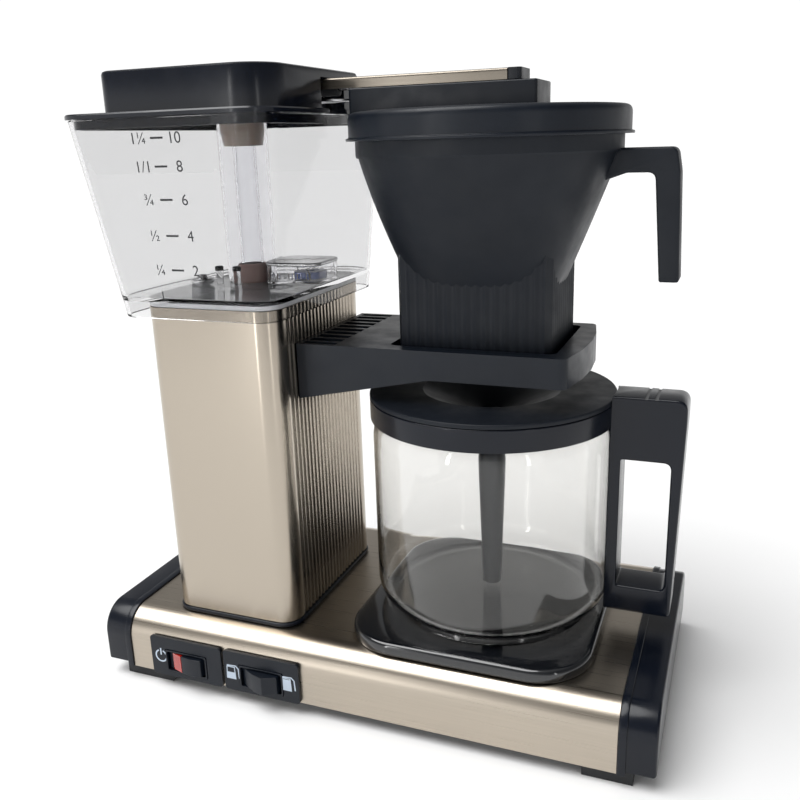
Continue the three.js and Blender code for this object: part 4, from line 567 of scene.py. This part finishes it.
def make_carafe_lid():
    top = carafe_lid.top
    dish = top - LID_DISH
    plug = NECK_RADIUS - GLASS_WALL - 0.3
    profile = [
        (LID_HOLE, dish - 2),
        (LID_HOLE + 2, dish - 2),
        (LID_FUNNEL + 1, top - 4.4),
        (plug - 2, top - 4.4),
        (plug - 2, carafe_lid.bottom),
        (plug, carafe_lid.bottom, 0.4),
        (plug, band_top + 0.3),
        (band_radius, band_top + 0.3, 0.3),
        (band_radius, top, 1.2),
        (LID_FUNNEL, top, 1.0),
        (LID_HOLE, dish, 1.0),
    ]
    wear(lathe("carafe_lid_shell", profile, carafe_x, steps=ROUND), "carafe_lid", "matte_black")


def make_mixing_tube():
    tube = Extent("mixing_tube")
    profile = [
        (3.8, tube.bottom, 0.4),
        (5.2, tube.bottom, 0.4),
        (8.6, tube.top - 4, 1),
        (11.5, tube.top - 2, 0.5),
        (11.5, tube.top, 0.5),
        (7.2, tube.top, 0.4),
    ]
    wear(lathe("mixing_tube_body", profile, carafe_x, steps=64), "mixing_tube", "satin_black")


make_carafe_glass()
make_carafe_handle()
make_carafe_lid()
make_mixing_tube()

# ---- Filter basket ----

BASKET_X = 54.7
CONE_RADIUS = 66.4
CONE_WALL = 2
CONE_LEVELS = 24
CONE_FOOT = 29.2  # half the cone's width where it leaves the ribbed box
CONE_FOOT_DEPTH = 16.4
CONE_LIFT = 22
COLLAR_HEIGHT = 18.6
RIBBED_WIDTH = 80.6
RIBBED_DEPTH = 64
RIBBED_TOP = 77
RIB_PITCH = 5.0
RIB_RELIEF = 0.8
SPOUT_RADIUS = 9
SPOUT_HOLE = 4
GRIP_DROP = 18.1
GRIP_THICKNESS = 11.5
GRIP_HEIGHT = 63.5
GRIP_HALF = 7.5
BLOCK_HALF = 15.75

basket = Extent("brew_basket")
collar_radius = basket.rear
cone_bottom = basket.bottom + CONE_LIFT
collar_foot = basket.top - COLLAR_HEIGHT


def cone_ring(height, inset, steps=144):
    """The cone is a rounded rectangle at its foot and round at the collar."""
    rise = (height - cone_bottom) / (collar_foot - cone_bottom)
    half_width = CONE_FOOT + (CONE_RADIUS - CONE_FOOT) * rise - inset
    half_depth = CONE_FOOT_DEPTH + (CONE_RADIUS - CONE_FOOT_DEPTH) * rise - inset
    power = 2 / (4 - 2 * min(1, rise))
    ring = []
    for i in range(steps):
        turn = 2 * math.pi * i / steps
        c, s = math.cos(turn), math.sin(turn)
        x = BASKET_X + half_width * math.copysign(abs(c) ** power, c)
        ring.append((x, half_depth * math.copysign(abs(s) ** power, s), height))
    return ring


def cone_rings(inset, count=CONE_LEVELS + 1):
    rise = (collar_foot - cone_bottom) / CONE_LEVELS
    return [cone_ring(cone_bottom + rise * i, inset) for i in range(count)]


def ribbed(width, depth):
    """A rectangle whose walls are folded into upright ribs with rounded crests."""
    corners = [(-1, -1), (1, -1), (1, 1), (-1, 1)]
    points = []
    for i, (sx, sy) in enumerate(corners):
        nx, ny = corners[(i + 1) % 4]
        start = Vector((sx * width / 2, sy * depth / 2))
        end = Vector((nx * width / 2, ny * depth / 2))
        run = (end - start).length
        along = (end - start).normalized()
        inward = Vector((-along.y, along.x))
        ribs = int((run - RIB_PITCH) // RIB_PITCH)
        margin = (run - ribs * RIB_PITCH) / 2
        for k in range(ribs * 8 + 1):
            swell = abs(math.sin(math.pi * k / 8)) ** 1.5
            at = start + along * (margin + k * RIB_PITCH / 8) + inward * RIB_RELIEF * swell
            points.append((BASKET_X + at.x, at.y))
    return points


def make_collar():
    profile = [
        (CONE_RADIUS - CONE_WALL, collar_foot - 1),
        (collar_radius - 0.4, collar_foot - 1),
        (collar_radius, collar_foot, 0.5),
        (collar_radius, basket.top, 0.8),
        (CONE_RADIUS - CONE_WALL, basket.top, 0.8),
    ]
    return lathe("collar", profile, BASKET_X, steps=ROUND)


def make_spout():
    bottom = basket.bottom
    profile = [
        (SPOUT_HOLE, bottom, 0.5),
        (SPOUT_RADIUS, bottom, 1),
        (SPOUT_RADIUS, cone_bottom + 1),
        (SPOUT_RADIUS - 2, cone_bottom + 1),
        (SPOUT_RADIUS - 2, bottom + 2),
        (SPOUT_HOLE, bottom + 2),
    ]
    return lathe("spout", profile, BASKET_X, steps=64)


def make_ribbed_box():
    hollow = box_outline(BASKET_X - 37.5, BASKET_X + 37.5, -29.2, 29.2, 2.5, 4)
    outlines = [ribbed(RIBBED_WIDTH, RIBBED_DEPTH), hollow]
    ribs = slab("ribs", outlines, basket.bottom + 6, basket.bottom + RIBBED_TOP, edge=0.15)
    return carve(ribs, loft("cone_cut", cone_rings(0.6, 20)))


def make_basket_grip():
    right = basket.right
    top = basket.top - GRIP_DROP
    under = top - GRIP_THICKNESS
    root = BASKET_X + CONE_RADIUS - 8
    end = top - GRIP_HEIGHT
    outline = [
        (root, top),
        (root, under - 4),
        (root + 12, under, 5),
        (right - 13.5, under, 4),
        (right - 9.5, end, 1.2),
        (right, end, 1.6),
        (right - 2, under, 3),
        (right - 4, top, 4),
    ]
    grip = slab("basket_grip", [eased(outline, steps=8)], -GRIP_HALF, GRIP_HALF, "y", 1.2)
    return carve(grip, loft("cone_core", cone_rings(1)))


def make_brew_basket():
    cone = loft("cone", cone_rings(0) + cone_rings(CONE_WALL)[::-1], closed=True)
    floor_line = [p[:2] for p in cone_ring(cone_bottom, 0)]
    outlines = [floor_line, circle(SPOUT_RADIUS - 2, BASKET_X)]
    cone_floor = slab("cone_floor", outlines, cone_bottom, cone_bottom + CONE_WALL, edge=0)
    parts = [make_collar(), make_spout(), make_ribbed_box(), make_basket_grip()]
    wear(merged("brew_basket_body", cone, cone_floor, *parts), "brew_basket", "matte_black")


def make_drip_spring():
    """The drip stop's spring: its CAD shape, welded and shaded smooth, on a mesh of its own. On the real
    brewer it squashes towards its upper end as the drip stop is pressed; this code does not make it squash.
    """
    spring = wear(softened("drip_stop_spring", 0), "drip_stop_spring", "steel")
    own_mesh(spring)


def make_basket_lid():
    cover = Extent("basket_lid")
    rim = cover.right - cover.x
    disc_top = basket.top + 2.4
    profile = [
        (0, basket.top + 0.3),
        (collar_radius + 0.3, basket.top + 0.3),
        (collar_radius + 0.3, cover.bottom, 0.3),
        (rim, cover.bottom, 0.4),
        (rim, cover.bottom + 1.3, 0.5),
        (rim - 1.4, cover.bottom + 1.7, 0.4),
        (rim - 1.4, disc_top, 4),
        (0, disc_top),
    ]
    disc = lathe("lid_disc", profile, BASKET_X, steps=ROUND, closed=False)
    outlines = [
        box_outline(-15, 83.2, -BLOCK_HALF, BLOCK_HALF, 1.5, 6),
        box_outline(BASKET_X - 23, BASKET_X + 23, -6, 6, 4, 8),
    ]
    ridge = slab("lid_block", outlines, disc_top - 1.5, cover.top, edge=0.9)
    slot_line = box_outline(BASKET_X - 24, BASKET_X + 24, -7, 7, 2, 2)
    slot_floor = slab("slot_floor", [slot_line], disc_top - 0.2, disc_top + 0.5, edge=0.1)
    wear(merged("basket_lid_shell", disc, ridge, slot_floor), "basket_lid", "satin_black")


make_drip_spring()
make_brew_basket()
make_basket_lid()

# ---- Base ----

BASE_HALF = 82.0
ARCH = 16.0
SHEET = 1.2
CLEARANCE = 0.3
CAP_FLANGE = 4
PLATE_DISC = 55.0
PLATE_CORNER = 30
TOWER_CORNER = 11

base = Extent("base_cover")
tower = Extent("tower_housing")


def arch(grow, bottom):
    """An inverted U with rounded shoulders, in (y, z)."""
    half, radius = BASE_HALF + grow, ARCH + grow
    spring_line = base.top + grow - radius
    points = [(-half, bottom), (half, bottom)]
    points += quarter(half - radius, spring_line, radius, radius, 0, 24)
    points += quarter(radius - half, spring_line, radius, radius, 90, 24)
    return points


def make_base_cover():
    inner = BASE_HALF - SHEET
    line = arch(0, base.bottom)[1:] + [(-BASE_HALF, base.bottom), (-inner, base.bottom)]
    line += arch(-SHEET, base.bottom)[2:][::-1] + [(inner, base.bottom)]
    sheet = slab("base_cover_sheet", [line], base.left, base.right, "x", 0)
    cutters = []
    for node in ("power_switch_body", "selector_body"):
        e = Extent(node)
        left, right = e.left - CLEARANCE, e.right + CLEARANCE
        cutters.append(block(left, right, -84, -60, e.bottom - CLEARANCE, e.top + CLEARANCE))
    element = Extent("hot_plate_element")
    cutters.append(slab("plate_hole", [circle(45, element.x, element.y)], 30, 60, edge=0))
    tower_line = box_round(tower, 12, TOWER_CORNER)
    cutters.append(slab("tower_hole", [tower_line], 26, 60, edge=0))
    gland = Extent("cord_gland")
    gland_line = circle(7.5, gland.x, (gland.bottom + gland.top) / 2, 32)
    cutters.append(slab("gland_hole", [gland_line], 60, 95, "y", 0))
    carve(sheet, *cutters)
    wear(sheet, "base_cover", "champagne_base")


def make_end_cap(node, side):
    """An end with a raised flange round the sheet's end. Side is -1 on the left and 1 on the right."""
    e = Extent(node)
    near, far = (e.right, e.left) if side < 0 else (e.left, e.right)
    flange_end = near + side * CAP_FLANGE
    flange_span = sorted((near, flange_end))
    face_span = sorted((near + side, far))
    flange = slab("flange", [arch(1.0, base.bottom)], *flange_span, "x", 0.5)
    face = slab("face", [arch(0, base.bottom + 2)], *face_span, "x", 1.6)
    wear(carve(face, flange, keep="UNION"), node, "gloss_black")


def make_hot_plate():
    plate = Extent("hot_plate")
    rim = plate.top
    steps = [
        (0.2, plate.bottom),
        (0, plate.bottom + 0.4),
        (0, rim - 3.4),
        (0.25, rim - 2.2),
        (0.9, rim - 1.1),
        (1.8, rim - 0.55),
        (3, rim - 0.3),
    ]
    rings = []
    for inset, z in steps:
        rings.append([(x, y, z) for x, y in box_round(plate, inset, PLATE_CORNER - inset, 24)])
    body = loft("plate_body", rings)
    moat_line = [
        (PLATE_DISC, rim + 1),
        (PLATE_DISC, rim - 0.3),
        (PLATE_DISC + 1.5, rim - 2, 0.6),
        (PLATE_DISC + 5.5, rim - 2, 0.6),
        (PLATE_DISC + 8, rim + 1),
    ]
    hollow_line = box_round(plate, 2, PLATE_CORNER - 2)
    carve(
        body,
        lathe("moat", moat_line, carafe_x),
        slab("plate_hollow", [hollow_line], plate.bottom - 1, rim - 3.4, edge=0),
    )
    disc_line = [
        (0, rim - 1),
        (PLATE_DISC, rim - 1, 0.2),
        (PLATE_DISC, rim, 0.5),
        (PLATE_DISC - 6, rim, 0.3),
        (PLATE_DISC - 8, rim - 0.25, 0.3),
        (0, rim - 0.25),
    ]
    disc = lathe("top_disc", disc_line, carafe_x, closed=False)
    wear(merged("hot_plate_enamel", body, disc), "hot_plate", "enamel")


make_base_cover()
make_end_cap("left_end_cap", -1)
make_end_cap("right_end_cap", 1)
make_hot_plate()

# ---- Tower ----

FLUTES = 20
FLUTE_PITCH = 4.2
FLUTE_DEPTH = 0.7


def fluted():
    """The tower's outline, its sides folded into shallow flutes."""
    corner_steps = 16
    plain = box_round(tower, 0, TOWER_CORNER, corner_steps)
    front_end = 2 * (corner_steps + 1)
    run = FLUTES * FLUTE_PITCH / 2
    walls = []
    for side, x in ((1, tower.right), (-1, tower.left)):
        wall = []
        for k in range(FLUTES * 8 + 1):
            dip = FLUTE_DEPTH * math.sin(math.pi * k / 8) ** 2
            wall.append((x - side * dip, tower.y + side * (k * FLUTE_PITCH / 8 - run)))
        walls.append(wall)
    return plain[:front_end] + walls[0] + plain[front_end:] + walls[1]


def make_tower():
    left, right = tower.left + SHEET + FLUTE_DEPTH, tower.right - SHEET - FLUTE_DEPTH
    bore = box_outline(left, right, tower.front + SHEET, tower.rear - SHEET, TOWER_CORNER - SHEET, 12)
    sheet = slab("tower_sheet", [fluted(), bore], tower.bottom, tower.top, edge=0.25)
    wear(sheet, "tower_housing", "champagne_tower")


make_tower()

# ---- Tank ----

TANK_HEIGHT = 101.7
TANK_WALL = 1.8
TANK_FLOOR_DROP = 90.7  # from the rim to the floor's upper side
TANK_FLOOR_SHEET = 2
FOOT_CORNER = 13.2
RIM_CORNER = 16.0
INLET_X = -66.0
TANK_FOOT = dict(left=-132.95, right=-36.85, front=-69.4, rear=60.6)
PEG_Y = -19

tank = Extent("water_tank")
riser = Extent("riser_pipe")
tank_bottom = tank.top - TANK_HEIGHT
tank_floor = tank.top - TANK_FLOOR_DROP
tank_underside = tank_floor - TANK_FLOOR_SHEET


def tank_side(side, z):
    """Where one side of the tank stands at a height."""
    rise = (z - tank_bottom) / TANK_HEIGHT
    return TANK_FOOT[side] + (getattr(tank, side) - TANK_FOOT[side]) * rise


def tank_ring(z, inset=0.0):
    corner = FOOT_CORNER + (RIM_CORNER - FOOT_CORNER) * (z - tank_bottom) / TANK_HEIGHT - inset
    left, right = tank_side("left", z) + inset, tank_side("right", z) - inset
    front, rear = tank_side("front", z) + inset, tank_side("rear", z) - inset
    return [(x, y, z) for x, y in box_outline(left, right, front, rear, corner, 20)]


def make_water_tank():
    wall, low, high = TANK_WALL, tank_bottom, tank.top
    rings = [tank_ring(tank_underside, wall), tank_ring(low + 0.4, wall)]
    rings += [tank_ring(low, wall * 0.5), tank_ring(low + 0.4)]
    rings += [tank_ring(low + TANK_HEIGHT * i / 8) for i in range(1, 8)]
    rings += [tank_ring(high - 0.4), tank_ring(high, wall * 0.5), tank_ring(high - 0.4, wall)]
    rings += [tank_ring(high - TANK_FLOOR_DROP * i / 8, wall) for i in range(1, 8)]
    rings += [tank_ring(tank_floor + 1.6, wall), tank_ring(tank_floor + 0.5, wall + 0.4)]
    rings += [tank_ring(tank_floor, wall + 1.6)]
    shell = loft("tank_wall", rings)
    under, over = tank_underside - 11, tank_floor + 7
    carve(
        shell,
        slab("riser_hole", [circle(9.1, riser.x, riser.y, 48)], under, over, edge=0),
        slab("nut_hole", [circle(2.3, -119, -7, 24)], under, over, edge=0),
        slab("inlet_hole", [circle(5, INLET_X, 0, 32)], under, over, edge=0),
    )
    joint = tank_underside - 0.05
    inlet_line = [(4.9, tank.bottom, 0.4), (6.5, tank.bottom, 0.4), (6.5, joint), (4.9, joint)]
    inlet = lathe("tank_spout", inlet_line, INLET_X, steps=48)
    wear(merged("water_tank_shell", shell, inlet), "water_tank", "clear_plastic")


def pin(name, radius, edge, low, high, x, look):
    """A small post with a rounded top on the tank's floor, at low to high above it."""
    low, high = tank_floor + low, tank_floor + high
    line = [(0, low), (radius, low, edge), (radius, high, 1), (0, high)]
    trim(lathe(name, line, x, PEG_Y, steps=32, closed=False), "water_tank", look)


def make_riser_rings():
    ring = Extent("riser_collar")
    collar_line = [
        (6.8, ring.bottom),
        (11.1, ring.bottom, 0.5),
        (12.7, ring.bottom + 8, 1),
        (12.7, ring.top - 3),
        (14.5, ring.top - 3, 0.4),
        (14.5, ring.top, 0.8),
        (6.8, ring.top, 0.5),
    ]
    wear(lathe("riser_collar_body", collar_line, riser.x, steps=72), "riser_collar", "silicone")
    seal = Extent("riser_seal")
    seal_line = [
        (6.8, seal.bottom),
        (8.8, seal.bottom),
        (8.8, seal.top - 10),
        (10, seal.top - 10, 0.4),
        (9.4, seal.top - 2, 0.8),
        (8, seal.top, 0.4),
        (6.8, seal.top),
    ]
    wear(lathe("riser_seal_body", seal_line, riser.x, steps=64), "riser_seal", "seal_pink")


def make_riser(node, wall):
    e = Extent(node)
    radius = e.right - e.x
    line = sleeve_profile(radius - wall, radius, e.bottom, e.top)
    wear(lathe(node + "_wall", line, e.x, steps=80), node, "clear_inner")


make_water_tank()
for i, x in enumerate((-99.0, -87.5)):
    pin(f"tank_peg_{i + 1}", 2, 0.3, 0.05, 10, x, "clear_plastic")
    pin(f"tank_peg_tip_{i + 1}", 2.4, 0.3, 8, 10.6, x, "ink_dark")
make_riser_rings()
make_riser("riser_column", 1.5)
make_riser("riser_pipe", 1.2)

# ---- Outlet arm ----

ARM_HALF = 10
ARM_SHEET = 0.8


def make_outlet_elbow():
    elbow = Extent("outlet_elbow")
    low, high = elbow.bottom, elbow.top
    socket_line = [(0, low), (9.5, low, 0.6), (9.5, high, 3), (0, high)]
    socket = lathe("socket", socket_line, riser.x, steps=64, closed=False)
    carve(socket, slab("bore", [circle(6.8, riser.x, 0, 48)], low - 1, high - 1, edge=0))
    outlines = [circle(3.7, 0, high - 4.5, 48), circle(1.9, 0, high - 3.6, 32)]
    sleeve = slab("sleeve", outlines, riser.x + 7, elbow.right, "x", 0.4)
    wear(merged("outlet_elbow_body", socket, sleeve), "outlet_elbow", "rubber")


def make_outlet_arm():
    arm = Extent("outlet_arm_cover")
    low, high = arm.bottom, arm.top
    corners = [(-ARM_HALF, low), (ARM_HALF, low), (ARM_HALF, high, 1.6), (-ARM_HALF, high, 1.6)]
    channel = slab("arm_channel", [eased(corners)], arm.left, arm.right, "x", 0.15)
    inner = ARM_HALF - ARM_SHEET
    carve(channel, block(arm.left - 1, arm.right + 1, -inner, inner, low - 1, high - ARM_SHEET))
    # The arm wears a darker copy of the champagne metal: painted shade
    wear(channel, "outlet_arm_cover", "champagne_arm")


make_outlet_elbow()
make_outlet_arm()

# ---- Every other node: its own shape, with softened edges ----

BEVEL = 0.25
BEVELS = {
    "tank_lid": 0.9,
    "basket_holder": 0.7,
    "tower_gasket": 0.7,
    "power_switch_plate": 0.35,
    "selector_plate": 0.35,
    "power_rocker": 0.35,
    "selector_rocker": 0.35,
    "outlet_arm_end_cap": 0.5,
}
LOOKS = {
    "float_housing": "clear_inner",
    "tower_cap": "pale_plastic",
    "tank_lid": "lid_black",
    "tower_gasket": "gloss_black",
}
dressed = {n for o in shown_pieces() for n in o.get("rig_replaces", [])}
for node in sorted(frame["nodes"]):
    if node not in dressed:
        wear(softened(node, BEVELS.get(node, BEVEL)), node, LOOKS.get(node, slot_of_node[node]))

# ---- Prints ----

PRINT_LIFT = 0.06
FIGURE_SIZE = 7.8
UNIT_Z = 230
LITRES_X, CUPS_X = -99.4, -78.1
DASH = (-92.6, -85.2)
SCALE = (
    ("1¼", "10", 308.9),
    ("1/1", "8", 295.4),
    ("¾", "6", 279.3),
    ("½", "4", 261.4),
    ("¼", "2", 243.8),
)
LEAN = math.degrees(math.atan((TANK_FOOT["front"] - tank.front) / TANK_HEIGHT))


def wall_y(z):
    return tank_side("front", z) - PRINT_LIFT


def figures(name, text, size, x, z):
    """Flat figures printed on the tank's front wall."""
    curve = bpy.data.curves.new(name, "FONT")
    curve.body = text
    curve.size = size * MM
    curve.align_x = "CENTER"
    curve.align_y = "CENTER"
    curve.extrude = 0.00002
    mesh = drawn_mesh(name, curve)
    across = [v.co.x for v in mesh.vertices]
    up = [v.co.y for v in mesh.vertices]
    middle = Vector((min(across) + max(across), min(up) + max(up), 0)) / 2
    turn = Matrix.Rotation(math.radians(90 + LEAN), 4, "X")
    at = Vector((x, wall_y(z), z)) * MM
    mesh.transform(Matrix.Translation(at) @ turn @ Matrix.Translation(-middle))
    trim(link(name, mesh), "water_tank", "ink_dark")


def make_scale():
    for i, (litres, cups, z) in enumerate(SCALE):
        figures(f"scale_litres_{i + 1}", litres, FIGURE_SIZE, LITRES_X, z)
        figures(f"scale_cups_{i + 1}", cups, FIGURE_SIZE, CUPS_X, z)
        line = box_outline(*DASH, z - 0.5, z + 0.5, 0.2, 2)
        dash = slab(f"scale_dash_{i + 1}", [line], -0.03, 0.03, "y", 0)
        dash.data.transform(Matrix.Translation((0, wall_y(z) * MM, 0)))
        trim(dash, "water_tank", "ink_dark")
    figures("scale_unit", "L", 7, -99.7, UNIT_Z)


def stroke(name, lines, width, centre, node):
    """A flat printed mark of lines, each (points, closed), on a plate that faces the front."""
    curve = bpy.data.curves.new(name, "CURVE")
    curve.dimensions = "3D"
    curve.bevel_depth = width / 2 * MM
    curve.use_fill_caps = True
    for points, closed in lines:
        add_line(curve, [(x, 0, z) for x, z in points], closed)
    mesh = drawn_mesh(name, curve)
    flat = Matrix.Diagonal((1, 0.12, 1, 1))
    mesh.transform(Matrix.Translation(Vector(centre) * MM) @ flat)
    smooth(mesh)
    trim(link(name, mesh), node, "ink_pale")


def arc(radius, start, end, steps=24):
    turns = [math.radians(start + (end - start) * i / steps) for i in range(steps + 1)]
    return [(radius * math.cos(t), radius * math.sin(t)) for t in turns]


PLATE_FRONT = Extent("selector_plate").front
MARK_Z = 19.6
POWER_X = -119.4
JUGS = (("mark_half_jug", -71.4, 0.0), ("mark_full_jug", -36.0, 2.8))
JUG = [(-3.6, -4.2), (2.0, -4.2), (1.6, 3.2), (-3.2, 3.2)]
JUG_HANDLE = [(-3.2, 3.9), (2.4, 4.2), (4.0, 2.6), (4.4, -3.6)]


def make_power_mark():
    ring, bar = arc(3.6, 112, 428), [(0, 0.6), (0, 5)]
    place = (POWER_X, PLATE_FRONT, MARK_Z + 0.4)
    stroke("mark_power", [(ring, False), (bar, False)], 0.95, place, "power_switch_plate")


def make_jug_mark(name, x, fill):
    """A jug's outline, filled to a height above its middle."""
    place = (x, PLATE_FRONT, MARK_Z - 0.2)
    stroke(name, [(JUG, True), (JUG_HANDLE, False)], 0.8, place, "selector_plate")
    foot_z, level_z = MARK_Z - 4.2, MARK_Z + fill - 0.4
    line = [(x - 3.4, foot_z), (x + 1.8, foot_z), (x + 1.7, level_z), (x - 3.3, level_z)]
    level = slab(name + "_level", [line], PLATE_FRONT - 0.04, PLATE_FRONT + 0.04, "y", 0)
    trim(level, "selector_plate", "ink_pale")


make_scale()
make_power_mark()
for jug in JUGS:
    make_jug_mark(*jug)

# ---- Studio ----

FLOOR_HALF = 9000
SKY = ((0.0, 1.05), (0.17, 1.05), (0.3, 0.34), (0.6, 0.26), (1.0, 0.5))
RIGHT_SIDE = {"From Min": 0.15, "From Max": 0.6, "To Min": 1.0, "To Max": 0.5}


def make_floor():
    f = FLOOR_HALF
    floor = from_faces("studio_floor", [(-f, -f, 0), (f, -f, 0), (f, f, 0), (-f, f, 0)], [(0, 1, 2, 3)])
    finish = Finish("floor_paint", Roughness=0.7)
    paint = finish.noise(3, detail=2)
    finish.set("Base Color", finish.colours(paint, (0.3, (0.93,) * 3), (0.7, (0.95,) * 3)))
    floor.data.materials.append(finish.material)


def make_world():
    """A pale horizon under a darker sky, and weaker light from the right."""
    world = bpy.data.worlds.new("studio")
    bpy.context.scene.world = world
    world.use_nodes = True
    sky = world.node_tree
    background = sky.nodes["Background"]
    heights = sky.nodes.new("ShaderNodeSeparateXYZ")
    sky.links.new(sky.nodes.new("ShaderNodeTexCoord").outputs["Generated"], heights.inputs[0])
    glow = sky.nodes.new("ShaderNodeValToRGB")
    sky.links.new(heights.outputs["Z"], glow.inputs["Fac"])
    elements = glow.color_ramp.elements
    elements[0].position, elements[1].position = SKY[0][0], SKY[-1][0]
    for position, level in SKY[1:-1]:
        elements.new(position)
    for element, (position, level) in zip(elements, SKY):
        element.color = (level, level, level, 1)
    sky.links.new(glow.outputs["Color"], background.inputs["Color"])
    right_side = sky.nodes.new("ShaderNodeMapRange")
    sky.links.new(heights.outputs["X"], right_side.inputs["Value"])
    for socket, value in RIGHT_SIDE.items():
        right_side.inputs[socket].default_value = value
    sky.links.new(right_side.outputs[0], background.inputs["Strength"])


def lamp(name, kind, at, aim, energy, **settings):
    light = bpy.data.lights.new(name, kind)
    light.energy = energy
    for key, value in settings.items():
        setattr(light, key, value)
    obj = link(name, light)
    obj.location = at
    obj.rotation_mode = "QUATERNION"
    obj.rotation_quaternion = (Vector(aim) - Vector(at)).to_track_quat("-Z", "Y")


def make_camera():
    """The photograph's own view, solved from its straight edges."""
    camera = bpy.data.cameras.new("view")
    camera.sensor_width = 36
    camera.lens = 39.17
    camera.shift_x = -0.0034
    camera.shift_y = -0.0059
    eye = link("view", camera)
    forward = Vector((-0.35678, 0.89110, -0.28050))
    across = Vector((0.92836, 0.37170, 0))
    up = Vector((-0.10426, 0.26041, 0.95988))
    roll_cos, roll_sin = 0.9995, -0.03158
    right_axis = across * roll_cos + up * roll_sin
    up_axis = up * roll_cos - across * roll_sin
    turn = Matrix((right_axis, up_axis, -forward)).transposed().to_4x4()
    eye.matrix_world = Matrix.Translation((0.1816, -0.4443, 0.3039)) @ turn
    bpy.context.scene.camera = eye


make_floor()
make_world()
lamp("overhead", "SUN", (-0.9, -0.6, 2.4), (0, 0, 0), 2.95, angle=math.radians(50))
strip = dict(shape="RECTANGLE", size=0.1, size_y=0.9)
lamp("strip_left", "AREA", (-0.62, -1.5, 0.45), (0, 0, 0.25), 2.2, **strip)
lamp("strip_right", "AREA", (1.35, -1.15, 0.45), (0, 0, 0.25), 1.0, **strip)
make_camera()
bpy.context.scene.view_settings.view_transform = "Standard"
